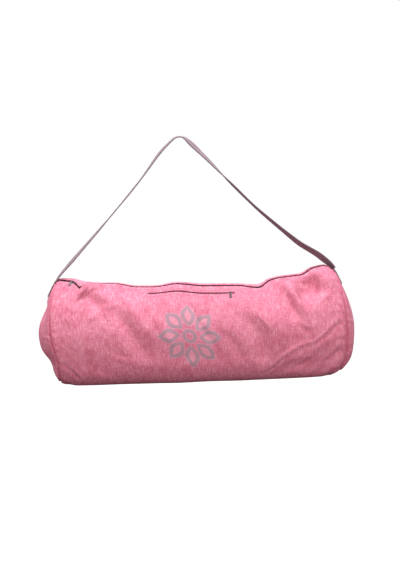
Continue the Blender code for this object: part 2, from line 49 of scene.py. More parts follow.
CAMERA_AZIMUTH = math.radians(-3.0)
CAMERA_ELEVATION = math.radians(3.5)
CAMERA_ROLL = math.radians(2.1)
BAG_MIDDLE = Vector((0.023, 0.0, -0.441))
BAG_MIDDLE_PIXEL = (197.0, 330.0)

towards_camera = Vector((
    math.sin(CAMERA_AZIMUTH) * math.cos(CAMERA_ELEVATION),
    -math.cos(CAMERA_AZIMUTH) * math.cos(CAMERA_ELEVATION),
    math.sin(CAMERA_ELEVATION),
))
level_turn = (-towards_camera).to_track_quat("-Z", "Y")
camera_turn = level_turn.to_matrix() @ Matrix.Rotation(-CAMERA_ROLL, 3, "Z")
right_of_middle = (PICTURE_WIDTH / 2 - BAG_MIDDLE_PIXEL[0]) * METRES_PER_PIXEL
above_middle = (BAG_MIDDLE_PIXEL[1] - PICTURE_HEIGHT / 2) * METRES_PER_PIXEL
camera = bpy.data.objects.new("camera", bpy.data.cameras.new("camera"))
bpy.context.scene.collection.objects.link(camera)
camera.location = (
    BAG_MIDDLE
    + towards_camera * CAMERA_DISTANCE
    + camera_turn @ Vector((right_of_middle, above_middle, 0.0))
)
camera.rotation_euler = camera_turn.to_euler()
camera.data.sensor_width = 36.0
camera.data.lens = camera.data.sensor_width * CAMERA_DISTANCE / (PICTURE_HEIGHT * METRES_PER_PIXEL)
bpy.context.scene.camera = camera

# Cloth of the bag
# The bag is cut from one pink melange canvas: thick and thin yarns of several pinks in a plain weave, which
# leave fine darker and paler flecks both ways across it. The strap is sewn from a greyer, mauve canvas.
CLOTH_PINK = (0.590, 0.172, 0.256)
CLOTH_DARK = (0.430, 0.083, 0.142)
CLOTH_LIGHT = (0.790, 0.382, 0.478)
YARN_PITCH = 0.0009


class Wire:
    """A value in a material: a socket that takes part in sums."""

    def __init__(self, finish, socket):
        self.finish = finish
        self.socket = socket

    def math(self, operation, *others):
        values = dict(enumerate((self, *others)))
        return self.finish.node("ShaderNodeMath", {"operation": operation}, values)

    def __add__(self, other):
        return self.math("ADD", other)

    __radd__ = __add__

    def __sub__(self, other):
        return self.math("SUBTRACT", other)

    def __rsub__(self, other):
        return self.finish.node("ShaderNodeMath", {"operation": "SUBTRACT"}, {0: other, 1: self})

    def __mul__(self, other):
        return self.math("MULTIPLY", other)

    __rmul__ = __mul__

    def __truediv__(self, other):
        return self.math("DIVIDE", other)

    def __abs__(self):
        return self.math("ABSOLUTE")

    def step(self, low, high):
        """0 under low, 1 over high and smooth between them; low may be the larger."""
        rising = low < high
        ends = {1: min(low, high), 2: max(low, high), 3: 0.0 if rising else 1.0, 4: 1.0 if rising else 0.0}
        return self.finish.node("ShaderNodeMapRange", {"interpolation_type": "SMOOTHSTEP"}, {0: self, **ends})


class Finish:
    """A material in the making: its nodes, and the shader that they end in."""

    def __init__(self, name):
        self.material = bpy.data.materials.new(name)
        self.material.use_nodes = True
        self.tree = self.material.node_tree
        self.shader = self.tree.nodes["Principled BSDF"]

    def node(self, kind, settings, inputs, output=0):
        made = self.tree.nodes.new(kind)
        for key, value in settings.items():
            setattr(made, key, value)
        for key, value in inputs.items():
            self.feed(made.inputs[key], value)
        return Wire(self, made.outputs[output])

    def feed(self, socket, value):
        if isinstance(value, Wire):
            self.tree.links.new(value.socket, socket)
        elif socket.type == "RGBA" and len(value) == 3:
            socket.default_value = (*value, 1.0)
        else:
            socket.default_value = value

    def set(self, **values):
        for key, value in values.items():
            self.feed(self.shader.inputs[key.replace("_", " ").title().replace("Ior", "IOR")], value)

    def split(self, vector):
        """The three numbers of a vector."""
        parts = self.node("ShaderNodeSeparateXYZ", {}, {0: vector}).socket.node.outputs
        return [Wire(self, part) for part in parts]

    def along(self, layer):
        """The two places of a UV layer that is laid out in metres."""
        return self.split(self.node("ShaderNodeUVMap", {"uv_map": layer}, {}))[:2]

    def grain(self, place, scale, detail, roughness=0.5):
        """Noise of one scale each way."""
        inputs = {"Vector": place, "Scale": scale, "Detail": detail, "Roughness": roughness}
        return self.node("ShaderNodeTexNoise", {"noise_dimensions": "3D"}, inputs)

    def noise(self, x, y, x_scale, y_scale, detail=2.0, roughness=0.5, shift=0.0):
        """Noise stretched to its own scale each way, in features a metre."""
        place = self.node("ShaderNodeCombineXYZ", {}, {0: x * x_scale, 1: y * y_scale, 2: shift})
        return self.grain(place, 1.0, detail, roughness)

    def mix(self, first, second, share):
        settings = {"data_type": "RGBA", "blend_type": "MIX"}
        return self.node("ShaderNodeMix", settings, {0: share, 6: first, 7: second}, output=2)

    def relief(self, height, distance, strength=1.0, under=None):
        inputs = {"Height": height, "Distance": distance, "Strength": strength}
        if under:
            inputs["Normal"] = under
        return self.node("ShaderNodeBump", {}, inputs)


def canvas(name, middle, dark, light):
    """A finish of melange canvas: its colour, and its yarns and fuzz laid into the normal."""
    finish = Finish(name)
    x, y = finish.along("cloth")
    # Thin streaks each way are the thick and thin yarns, and flecks and clouds are the uneven dye.
    warp = finish.noise(x, y, 400.0, 60.0, detail=2.0, roughness=0.6)
    weft = finish.noise(x, y, 70.0, 420.0, detail=2.0, roughness=0.6, shift=7.0)
    flecks = finish.noise(x, y, 620.0, 300.0, detail=2.0, roughness=0.6, shift=5.0)
    clouds = finish.noise(x, y, 44.0, 30.0, detail=3.0, roughness=0.65, shift=3.0)
    wear = finish.noise(x, y, 7.0, 6.0, detail=2.0, shift=19.0)
    tone = warp * 0.40 + weft * 0.28 + flecks * 0.18 + clouds * 0.14
    colour = finish.mix(middle, dark, tone.step(0.49, 0.60) * 0.54)
    colour = finish.mix(colour, light, tone.step(0.51, 0.40) * 0.46)
    colour = finish.mix(colour, dark, clouds.step(0.48, 0.70) * 0.30)
    finish.colour = finish.mix(colour, light, wear.step(0.50, 0.72) * 0.12)
    turn = 2 * math.pi / YARN_PITCH
    weave = (x * turn).math("SINE") * (y * turn).math("SINE")
    fuzz = finish.noise(x, y, 1500.0, 1500.0, detail=2.0, shift=23.0)
    yarns = finish.relief(weave * 0.5 + warp * 0.4 + fuzz * 0.4, 0.00020, 0.30)
    finish.set(
        normal=finish.relief(clouds, 0.0030, 0.35, under=yarns),
        roughness=0.80 + warp * 0.12,
        sheen_weight=0.04,
        sheen_roughness=0.45,
        sheen_tint=(1.0, 0.62, 0.70),
        specular_ior_level=0.12,
    )
    return finish


# Body
# One piece of canvas runs from the zip down the front, under the bag and up the back. It hangs slack between
# the two end panels, so it falls into an oval, and folds run down from the corners and from the sagging zip.
BODY_LENGTH = 0.670
BODY_HEIGHT = 0.230
BODY_DEPTH = 0.160
CLOTH_WALL = 0.0015
HANG_DROP = 0.441
HANG_OFFSET = 0.023
TOP_ROUNDNESS = 1.85
BASE_ROUNDNESS = 2.45
MAIN_ZIP_WINDOW = 0.0085
POCKET_ZIP_LENGTH = 0.205
POCKET_ZIP_SHARE = 0.478
POCKET_ZIP_DROP = 0.025
POCKET_ZIP_WINDOW = 0.0052
AXIS_Z = -HANG_DROP
ROWS = 321
COLUMNS = 601
ZIP_SAG = 0.010
ZIP_SAG_STATION = 0.088
ZIP_SAG_SPREAD = 0.010
HALF_LENGTH = BODY_LENGTH / 2

# station: share of the length from the left. crest and keel: heights over and under the axis, shares of
# BODY_HEIGHT. depth, and forward, how far the zip lies in front of the crest: shares of BODY_DEPTH.
Section = namedtuple("Section", "station crest keel depth forward")
SECTIONS = (
    Section(0.00, 0.565, 0.470, 0.86, 0.09),
    Section(0.05, 0.565, 0.482, 0.92, 0.13),
    Section(0.08, 0.545, 0.484, 0.95, 0.18),
    Section(0.11, 0.520, 0.486, 0.97, 0.09),
    Section(0.14, 0.504, 0.487, 0.98, 0.04),
    Section(0.20, 0.500, 0.488, 1.00, 0.05),
    Section(0.28, 0.464, 0.492, 1.00, 0.08),
    Section(0.35, 0.457, 0.496, 0.98, 0.08),
    Section(0.43, 0.488, 0.502, 0.97, 0.11),
    Section(0.52, 0.464, 0.500, 0.97, 0.13),
    Section(0.65, 0.451, 0.506, 0.98, 0.13),
    Section(0.72, 0.437, 0.506, 0.99, 0.17),
    Section(0.77, 0.490, 0.506, 1.00, 0.11),
    Section(0.82, 0.508, 0.506, 1.00, 0.09),
    Section(0.88, 0.522, 0.506, 0.97, 0.09),
    Section(0.93, 0.582, 0.504, 0.93, 0.06),
    Section(0.97, 0.597, 0.498, 0.90, 0.05),
    Section(1.00, 0.570, 0.485, 0.85, 0.05),
)

# How far each end seam reaches from the middle, shares of half the length, at a share of the way round.
Reach = namedtuple("Reach", "girth left right")
REACHES = (
    Reach(0.00, 0.930, 0.945),
    Reach(0.08, 0.955, 0.966),
    Reach(0.16, 0.978, 0.988),
    Reach(0.26, 0.972, 0.998),
    Reach(0.36, 0.932, 0.990),
    Reach(0.43, 0.930, 0.964),
    Reach(0.50, 0.940, 0.952),
    Reach(0.60, 0.950, 0.950),
    Reach(0.75, 1.000, 1.000),
    Reach(0.88, 0.980, 0.980),
    Reach(1.00, 0.930, 0.945),
)

# Folds run from one place to another, shares of the length and of the girth down from the zip. bow: how far
# the middle of the run swings aside, share of BODY_HEIGHT. depth: share of BODY_DEPTH, negative for a ridge.
# width: share of BODY_HEIGHT. lip: the ridge beside it, a share of its depth.
Fold = namedtuple("Fold", "station fall to_station to_fall bow depth width lip")
MAIN_FOLDS = (
    Fold(0.094, 0.052, 0.172, 0.128, 0.00, 0.064, 0.095, 0.70),
    Fold(0.200, 0.120, 0.312, 0.280, 0.02, 0.050, 0.165, 0.60),
    Fold(0.350, 0.130, 0.410, 0.260, 0.00, -0.020, 0.090, 0.00),
    Fold(0.460, 0.060, 0.550, 0.250, -0.03, 0.018, 0.060, 0.30),
    Fold(0.580, 0.195, 0.640, 0.290, 0.00, 0.016, 0.080, 0.50),
    Fold(0.655, 0.130, 0.713, 0.300, 0.04, 0.058, 0.170, 0.55),
    Fold(0.783, 0.045, 0.828, 0.190, 0.00, 0.070, 0.110, 0.70),
    Fold(0.845, 0.085, 0.900, 0.180, 0.03, -0.030, 0.070, 0.00),
    Fold(0.890, 0.025, 0.940, 0.125, 0.00, 0.065, 0.120, 0.40),
    Fold(0.712, 0.346, 0.846, 0.294, 0.00, 0.016, 0.036, 0.50),
    Fold(0.826, 0.300, 0.945, 0.274, 0.00, 0.016, 0.036, 0.50),
    Fold(0.925, 0.280, 0.992, 0.228, 0.00, 0.016, 0.036, 0.50),
    Fold(0.925, 0.390, 0.995, 0.330, 0.00, 0.024, 0.060, 0.60),
    Fold(0.080, 0.640, 0.260, 0.860, 0.04, 0.050, 0.110, 0.60),
    Fold(0.330, 0.700, 0.480, 0.900, -0.03, 0.040, 0.110, 0.60),
    Fold(0.560, 0.880, 0.720, 0.680, 0.04, 0.045, 0.110, 0.60),
    Fold(0.780, 0.900, 0.930, 0.690, -0.03, 0.050, 0.110, 0.60),
)
SMALL_FOLDS = (
    Fold(0.125, 0.060, 0.172, 0.064, 0.02, 0.012, 0.030, 0.60),
    Fold(0.052, 0.105, 0.110, 0.078, -0.02, -0.010, 0.045, 0.00),
    Fold(0.048, 0.145, 0.070, 0.158, 0.00, -0.015, 0.110, 0.00),
    Fold(0.130, 0.154, 0.154, 0.164, 0.00, -0.020, 0.100, 0.00),
    Fold(0.165, 0.118, 0.222, 0.106, -0.02, -0.012, 0.040, 0.00),
    Fold(0.150, 0.120, 0.205, 0.200, 0.00, 0.012, 0.045, 0.40),
    Fold(0.222, 0.055, 0.290, 0.140, 0.00, -0.014, 0.045, 0.00),
    Fold(0.262, 0.170, 0.300, 0.235, 0.02, 0.010, 0.030, 0.50),
    Fold(0.470, 0.085, 0.498, 0.135, 0.00, 0.010, 0.030, 0.20),
    Fold(0.600, 0.090, 0.640, 0.160, 0.02, 0.010, 0.040, 0.50),
    Fold(0.690, 0.135, 0.716, 0.230, 0.05, 0.018, 0.035, 0.60),
    Fold(0.745, 0.150, 0.785, 0.300, 0.03, -0.016, 0.055, 0.00),
    Fold(0.738, 0.025, 0.719, 0.090, 0.00, 0.014, 0.035, 0.60),
    Fold(0.800, 0.060, 0.812, 0.125, 0.02, 0.014, 0.030, 0.60),
    Fold(0.830, 0.200, 0.880, 0.235, -0.03, 0.012, 0.045, 0.50),
    Fold(0.910, 0.160, 0.955, 0.135, 0.02, -0.014, 0.045, 0.00),
    Fold(0.868, 0.030, 0.895, 0.125, 0.00, -0.012, 0.035, 0.00),
    Fold(0.950, 0.040, 0.975, 0.120, 0.02, -0.014, 0.060, 0.00),
    Fold(0.848, 0.090, 0.924, 0.085, 0.00, 0.130, 0.260, 0.00),
    Fold(0.765, 0.356, 0.975, 0.348, 0.00, 0.034, 0.140, 0.20),
    Fold(0.020, 0.330, 0.075, 0.380, 0.00, 0.012, 0.045, 0.60),
    Fold(0.180, 0.660, 0.210, 0.820, 0.04, 0.014, 0.050, 0.60),
    Fold(0.420, 0.650, 0.400, 0.780, 0.03, 0.012, 0.050, 0.60),
    Fold(0.620, 0.700, 0.660, 0.850, -0.04, 0.014, 0.050, 0.60),
    Fold(0.860, 0.640, 0.830, 0.800, 0.03, 0.014, 0.050, 0.60),
    Fold(0.960, 0.720, 0.900, 0.860, 0.02, 0.014, 0.045, 0.60),
    Fold(0.040, 0.700, 0.090, 0.850, 0.02, 0.014, 0.045, 0.60),
)
FOLD_END_SHARPNESS = 1.2
LIP_OFFSET = 1.9


def eased(rows, along, column, places):
    """A table's column between its rows, on a curve that never overshoots a row."""
    x = np.array([getattr(row, along) for row in rows])
    y = np.array([getattr(row, column) for row in rows])
    slope = np.diff(y) / np.diff(x)
    tangent = np.zeros(len(x))
    same = slope[:-1] * slope[1:] > 0
    mean = 2 * slope[:-1] * slope[1:] / np.where(same, slope[:-1] + slope[1:], 1)
    tangent[1:-1] = np.where(same, mean, 0)
    place = np.clip(places, x[0], x[-1])
    cell = np.clip(np.searchsorted(x, place, side="right") - 1, 0, len(x) - 2)
    width = x[cell + 1] - x[cell]
    t = (place - x[cell]) / width
    start = (2 * t**3 - 3 * t**2 + 1) * y[cell] + (t**3 - 2 * t**2 + t) * width * tangent[cell]
    end = (3 * t**2 - 2 * t**3) * y[cell + 1] + (t**3 - t**2) * width * tangent[cell + 1]
    return start + end


def unit(vectors):
    return vectors / np.linalg.norm(vectors, axis=-1, keepdims=True)


def section_outline(station, angles):
    """The cross-section as y and z, from the crest over the front."""
    crest, keel, depth = (eased(SECTIONS, "station", name, station) for name in ("crest", "keel", "depth"))
    upper = np.cos(angles) > 0
    power = 2 / np.where(upper, TOP_ROUNDNESS, BASE_ROUNDNESS)
    height = np.where(upper, crest, keel) * BODY_HEIGHT
    z = height * np.sign(np.cos(angles)) * np.abs(np.cos(angles)) ** power
    y = -depth * BODY_DEPTH / 2 * np.sign(np.sin(angles)) * np.abs(np.sin(angles)) ** power
    return y, z


def fold_depth(folds, length_along, fall, girth):
    """How far folds press the cloth in, at places in metres on the flat sheet."""
    pressed = np.zeros_like(fall)
    for fold in folds:
        start = np.array([fold.station * BODY_LENGTH, fold.fall * girth])
        run = np.array([fold.to_station * BODY_LENGTH, fold.to_fall * girth]) - start
        size = np.hypot(*run)
        run = run / size
        along = ((length_along - start[0]) * run[0] + (fall - start[1]) * run[1]) / size
        aside = (length_along - start[0]) * run[1] - (fall - start[1]) * run[0]
        swing = fold.bow * BODY_HEIGHT * (1 - np.clip(2 * along - 1, -1, 1) ** 2)
        across = (aside - swing) / (fold.width * BODY_HEIGHT / 2)
        taper = np.exp(-FOLD_END_SHARPNESS * (2 * along - 1) ** 4)
        profile = np.exp(-(across**2)) - fold.lip * np.exp(-((across - LIP_OFFSET) ** 2))
        pressed += fold.depth * BODY_DEPTH * taper * profile
    return pressed


stations = np.linspace(0, 1, ROWS)
zip_forward = eased(SECTIONS, "station", "forward", stations) * BODY_DEPTH
zip_forward += ZIP_SAG * np.exp(-(((stations - ZIP_SAG_STATION) / ZIP_SAG_SPREAD) ** 2))
outline_angles = np.linspace(0, 2 * math.pi, 4 * COLUMNS)
girths = np.zeros(ROWS)
skin = np.zeros((ROWS, COLUMNS, 3))
for row, station in enumerate(stations):
    y, z = section_outline(station, outline_angles)
    way = np.concatenate([[0], np.cumsum(np.hypot(np.diff(y), np.diff(z)))])
    girths[row] = way[-1]
    share = np.mod(zip_forward[row] / way[-1] + np.linspace(0, 1, COLUMNS), 1.0)
    skin[row, :, 1] = np.interp(share, way / way[-1], y)
    skin[row, :, 2] = np.interp(share, way / way[-1], z) + AXIS_Z
    left, right = (eased(REACHES, "girth", side, share) * HALF_LENGTH for side in ("left", "right"))
    skin[row, :, 0] = HANG_OFFSET - left + station * (left + right)
falls = np.linspace(0, 1, COLUMNS)[None, :] * girths[:, None]


def outward(points):
    """Unit normals of a skin whose columns close round the bag."""
    along = np.gradient(points, axis=0)
    closed = np.concatenate([points[:, -3:-1], points, points[:, 1:3]], axis=1)
    around = np.gradient(closed, axis=1)[:, 2:-2]
    return unit(np.cross(around, along))


def ramp(values, start, end):
    """0 at start and 1 at end, smooth between them."""
    t = np.clip((values - start) / (end - start), 0, 1)
    return t * t * (3 - 2 * t)


ZIP_QUIET = MAIN_ZIP_WINDOW / 2 + 0.007
length_along = stations[:, None] * BODY_LENGTH + 0 * falls
from_zip = np.minimum(falls, girths[:, None] - falls)
from_seam = np.minimum(stations, 1 - stations)[:, None] * BODY_LENGTH + 0 * falls
quiet = np.clip((from_zip - ZIP_QUIET) / ZIP_QUIET, 0, 1) * np.clip(from_seam / ZIP_QUIET, 0, 1)
mean_girth = girths.mean()
pressed = fold_depth(MAIN_FOLDS, length_along, falls, mean_girth)
pressed += fold_depth(SMALL_FOLDS, length_along, falls, mean_girth)
skin = skin - outward(skin) * (pressed * quiet)[:, :, None]

# The flat sheet is a little larger than the form it hangs in, so the slack settles into shallow waves. The
# sheet is sewn along the zip and the end seams, and elsewhere is held near the form.
SLACK = 0.022
WAVE_LIMIT = 0.0024
SIM_ROW_STEP = 4
SIM_COLUMN_STEP = 6
SIM_FRAMES = 26
SIM_HOLD = 0.18


def grid_cells(rows, columns, keep=lambda row, column: True):
    """The faces of a grid of points, row by row, where keep says so."""
    return [
        (r * columns + c, (r + 1) * columns + c, (r + 1) * columns + c + 1, r * columns + c + 1)
        for r in range(rows - 1)
        for c in range(columns - 1)
        if keep(r, c)
    ]


def settled(points):
    """How far the slack cloth stands out from the form once it has settled under its own weight."""
    coarse = points[::SIM_ROW_STEP, ::SIM_COLUMN_STEP]
    rows, columns = coarse.shape[:2]
    mesh = bpy.data.meshes.new("slack_sheet")
    mesh.from_pydata(coarse.reshape(-1, 3).tolist(), [], grid_cells(rows, columns))
    sheet = bpy.data.objects.new("slack_sheet", mesh)
    bpy.context.scene.collection.objects.link(sheet)
    held = sheet.vertex_groups.new(name="held")
    edge = np.zeros((rows, columns), bool)
    edge[[0, -1], :] = True
    edge[:, [0, 1, -2, -1]] = True
    weight = np.where(edge, 1.0, SIM_HOLD).ravel()
    for value in (SIM_HOLD, 1.0):
        held.add(np.flatnonzero(weight == value).tolist(), value, "REPLACE")
    cloth = sheet.modifiers.new("cloth", "CLOTH")
    cloth.settings.quality = 5
    cloth.settings.mass = 0.45
    cloth.settings.vertex_group_mass = "held"
    cloth.settings.pin_stiffness = 1.0
    cloth.settings.shrink_min = -SLACK
    cloth.settings.tension_stiffness = 40
    cloth.settings.compression_stiffness = 40
    cloth.settings.shear_stiffness = 15
    cloth.settings.bending_stiffness = 0.8
    cloth.settings.air_damping = 4.0
    cloth.collision_settings.use_collision = False
    for step in range(1, SIM_FRAMES + 1):
        bpy.context.scene.frame_set(step)
    moved = np.empty(rows * columns * 3)
    sheet.evaluated_get(bpy.context.evaluated_depsgraph_get()).data.vertices.foreach_get("co", moved)
    shift = ((moved.reshape(rows, columns, 3) - coarse) * outward(coarse)).sum(axis=2)
    bpy.context.scene.frame_set(1)
    bpy.data.objects.remove(sheet)
    bpy.data.meshes.remove(mesh)
    shift = WAVE_LIMIT * np.tanh(shift / WAVE_LIMIT)
    fine_rows = np.arange(ROWS) / SIM_ROW_STEP
    by_row = np.array([np.interp(fine_rows, np.arange(rows), shift[:, c]) for c in range(columns)]).T
    fine_columns = np.arange(COLUMNS) / SIM_COLUMN_STEP
    full = np.array([np.interp(fine_columns, np.arange(columns), line) for line in by_row])
    for _ in range(SIM_COLUMN_STEP):
        full[1:-1] = (full[:-2] + 2 * full[1:-1] + full[2:]) / 4
        full[:, 1:-1] = (full[:, :-2] + 2 * full[:, 1:-1] + full[:, 2:]) / 4
    return full


waves = settled(skin)
skin = skin + outward(skin) * (waves * quiet)[:, :, None]

# Stitching draws the cloth in. Each end seam is turned, so the cloth rolls down into it and puckers. Beside
# each zip the hem is folded double, stands a little proud, and is pulled down along its row of stitches. Near
# the left end the slack front puffs up before the main zip and hides it.
SEAM_ROLL = 0.0028
SEAM_GROOVE = 0.0040
SEAM_GROOVE_WIDTH = 0.006
PUCKER_HEIGHT = 0.0012
PUCKER_PITCH = 0.019
PUCKER_REACH = 0.020
HEM_STITCH = 0.0034
HEM_END = 0.0085
HEM_PROUD = 0.0008
HEM_EDGE = 0.0012
HEM_DITCH = 0.0008
HEM_DITCH_WIDTH = 0.0011
HEM_PUCKER = 0.0005
HEM_PUCKER_WIDTH = 0.0045
HEM_PUCKER_PITCH = 0.011
PUFF_HEIGHT = 0.0065
PUFF_START = 0.079
PUFF_END = 0.168
PUFF_SLOPE = 0.018
PUFF_FRONT = 0.007
PUFF_FADE = (0.013, 0.038)

skin_normals = outward(skin)


def read_grid(grid, station, fall):
    """A value of a skin grid at a share of the length and a fall from the main zip in metres."""
    station, fall = np.broadcast_arrays(np.asarray(station, float), np.asarray(fall, float))
    row = np.clip(station * (ROWS - 1), 0, ROWS - 1.000001)
    column = np.mod(fall / np.interp(row, np.arange(ROWS), girths), 1.0) * (COLUMNS - 1)
    r, c = row.astype(int), np.minimum(column.astype(int), COLUMNS - 2)
    a, b = (row - r)[..., None], (column - c)[..., None]
    near = grid[r, c] * (1 - b) + grid[r, c + 1] * b
    far = grid[r + 1, c] * (1 - b) + grid[r + 1, c + 1] * b
    return near * (1 - a) + far * a


def on_skin(station, fall, raised=0.0):
    """Places on the unsewn cloth, raised above its face by a number or one number for each."""
    normals = unit(read_grid(skin_normals, station, fall))
    return read_grid(skin, station, fall) + normals * np.asarray(raised)[..., None]


def uneven_wave(place, pitch, seed):
    """A wave of roughly even pitch whose height and spacing wander."""
    random = np.random.default_rng(seed)
    total = 0
    for share in (0.77, 1.0, 1.31):
        total = total + np.sin(2 * math.pi * place / (pitch * share) + random.uniform(0, 2 * math.pi))
    return total / 3


def hem_height(distance, place, seed):
    """The height of a double hem at a distance from its folded edge."""
    rise = ramp(distance, 0.0, HEM_EDGE) * (1 - ramp(distance, HEM_END - HEM_EDGE, HEM_END))
    ditch = HEM_DITCH * np.exp(-(((distance - HEM_STITCH) / HEM_DITCH_WIDTH) ** 2))
    pucker = HEM_PUCKER * uneven_wave(place, HEM_PUCKER_PITCH, seed)
    pucker = pucker * np.exp(-(((distance - HEM_STITCH) / HEM_PUCKER_WIDTH) ** 2))
    return np.where(distance > -1e-5, HEM_PROUD * rise - ditch + pucker, 0.0)


def rolled(distance):
    """How far a rounded edge has dropped at a distance from where it ends."""
    inside = np.clip(SEAM_ROLL - distance, 0, SEAM_ROLL)
    return SEAM_ROLL - np.sqrt(SEAM_ROLL**2 - inside**2)


main_edge = MAIN_ZIP_WINDOW / 2
pocket_middle = POCKET_ZIP_SHARE * BODY_LENGTH
pocket_start = pocket_middle - POCKET_ZIP_LENGTH / 2
pocket_end = pocket_middle + POCKET_ZIP_LENGTH / 2
pocket_top = POCKET_ZIP_DROP - POCKET_ZIP_WINDOW / 2
pocket_bottom = POCKET_ZIP_DROP + POCKET_ZIP_WINDOW / 2


def seam_groove(share):
    """How deep the end seam pulls itself in at a share of the way round, most at the front and the back."""
    return SEAM_GROOVE * (0.35 + 0.65 * np.sin(2 * math.pi * share) ** 2)


def sewn_height(station, fall):
    """How far stitching lifts or draws in the cloth, at places on it."""
    along = station * BODY_LENGTH
    girth = np.interp(station * (ROWS - 1), np.arange(ROWS), girths)
    seam = np.minimum(along, BODY_LENGTH - along)
    height = -rolled(seam) - seam_groove(fall / girth) * np.exp(-((seam / SEAM_GROOVE_WIDTH) ** 2))
    gathers = uneven_wave(fall + 0.3 * along, PUCKER_PITCH, 5) * np.exp(-seam / PUCKER_REACH)
    height = height + PUCKER_HEIGHT * gathers * ramp(seam, 0.0, 0.008)
    for seed, distance in ((11, fall - main_edge), (12, girth - fall - main_edge)):
        height = height + hem_height(distance, along, seed)
    puff = ramp(station, PUFF_START, PUFF_START + PUFF_SLOPE)
    puff = puff * (1 - ramp(station, PUFF_END - PUFF_SLOPE, PUFF_END))
    puff = puff * ramp(fall, main_edge, main_edge + PUFF_FRONT) * (1 - ramp(fall, *PUFF_FADE))
    height = height + PUFF_HEIGHT * puff
    beside = np.abs(fall - POCKET_ZIP_DROP) - POCKET_ZIP_WINDOW / 2
    beyond = np.maximum(np.abs(along - pocket_middle) - POCKET_ZIP_LENGTH / 2, 0)
    distance = np.where(beyond > 0, np.hypot(np.maximum(beside, 0), beyond), beside)
    return height + hem_height(distance, along, 17)


def on_cloth(station, fall):
    """Places on the sewn cloth's face."""
    return on_skin(station, fall, sewn_height(station, fall))


def add_mesh(name, points, faces, finish, replaced=(), body="bag", layers=None):
    """A smooth piece of the bag, with UV layers given as two numbers for each point."""
    mesh = bpy.data.meshes.new(name)
    mesh.from_pydata(np.asarray(points, float).tolist(), [], faces)
    corner = np.empty(len(mesh.loops), dtype=np.int64)
    mesh.loops.foreach_get("vertex_index", corner)
    for layer, places in (layers or {}).items():
        uv = mesh.uv_layers.new(name=layer)
        uv.data.foreach_set("uv", np.asarray(places, np.float32)[corner].ravel())
    mesh.materials.append(finish.material)
    mesh.shade_smooth()
    piece = bpy.data.objects.new(name, mesh)
    bpy.context.scene.collection.objects.link(piece)
    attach(piece, body)
    if replaced:
        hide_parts(*replaced)
    return piece


def thicken(piece, thickness):
    """Gives a sheet its thickness on the inside."""
    solid = piece.modifiers.new("thickness", "SOLIDIFY")
    solid.thickness = thickness
    solid.offset = -1.0


def stepped(*stretches):
    """Places along a line, from stretches given as start, end and step."""
    runs = [np.linspace(a, b, max(1, round((b - a) / step)), endpoint=False) for a, b, step in stretches]
    return np.concatenate([*runs, [stretches[-1][1]]])


# The mesh is finest in the rolled seams and the hems, and about 3 mm elsewhere.
ROLL_SPAN, ROLL_STEP = 0.003, 0.0006
PUCKER_SPAN, PUCKER_STEP = 0.012, 0.0018
OPEN_STEP = 0.0034
POCKET_STEP = 0.0033
BETWEEN_ZIPS_STEP = 0.002
HEM_SPAN, HEM_STEP = 0.009, 0.0009
REST_COLUMNS = 146
hem_end = main_edge + HEM_END
body_along = stepped(
    (0.0, ROLL_SPAN, ROLL_STEP),
    (ROLL_SPAN, PUCKER_SPAN, PUCKER_STEP),
    (PUCKER_SPAN, pocket_start, OPEN_STEP),
    (pocket_start, pocket_end, POCKET_STEP),
    (pocket_end, BODY_LENGTH - PUCKER_SPAN, OPEN_STEP),
    (BODY_LENGTH - PUCKER_SPAN, BODY_LENGTH - ROLL_SPAN, PUCKER_STEP),
    (BODY_LENGTH - ROLL_SPAN, BODY_LENGTH, ROLL_STEP),
)
front_falls = stepped(
    (main_edge, hem_end, HEM_STEP),
    (hem_end, pocket_top - HEM_SPAN, BETWEEN_ZIPS_STEP),
    (pocket_top - HEM_SPAN, pocket_top, HEM_STEP),
    (pocket_top, pocket_bottom, POCKET_ZIP_WINDOW),
    (pocket_bottom, pocket_bottom + HEM_SPAN, HEM_STEP),
)
pocket_column = int(np.argmin(np.abs(front_falls - pocket_top)))
rest_shares = np.linspace(0, 1, REST_COLUMNS)[1:-1]
back_hem = stepped((main_edge, hem_end, HEM_STEP))[::-1]
body_stations = body_along / BODY_LENGTH
body_girths = np.interp(body_stations * (ROWS - 1), np.arange(ROWS), girths)
body_falls = np.array([
    np.concatenate([
        front_falls,
        front_falls[-1] + rest_shares * (girth - back_hem[0] - front_falls[-1]),
        girth - back_hem,
    ])
    for girth in body_girths
])
body_places = np.repeat(body_stations, body_falls.shape[1])
body_points = on_cloth(body_places, body_falls.ravel())
body_uv = np.stack([body_places * BODY_LENGTH, body_falls.ravel()], axis=1)


def outside_pocket(row, column):
    in_row = pocket_start - 1e-6 < body_along[row] < pocket_end - 1e-6
    return not (in_row and column == pocket_column)


# The front carries a bold screen print in a greyer mauve: a plain rosette of eight petals round a ring. The
# ink sits on the yarns, so the weave breaks through it, and its edge has bled into a thin paler line.
PRINT_ALONG = 0.463 * BODY_LENGTH
PRINT_FALL = 0.132
PRINT_RING = 0.0120
PRINT_RING_STROKE = 0.0088
PRINT_PETAL_START = 0.0205
PRINT_PETAL_END = 0.0720
PRINT_PETAL_WIDTH = 0.0335
PRINT_HOLE_START = 0.0310
PRINT_HOLE_END = 0.0610
PRINT_HOLE_WIDTH = 0.0150
PRINT_INK = (0.370, 0.222, 0.278)
PRINT_BLEED = 0.0022
# How strongly the cloth is painted darker beside the end seams: painted shade for the seams' crevices.
SEAM_PAINTED_SHADE = 0.38

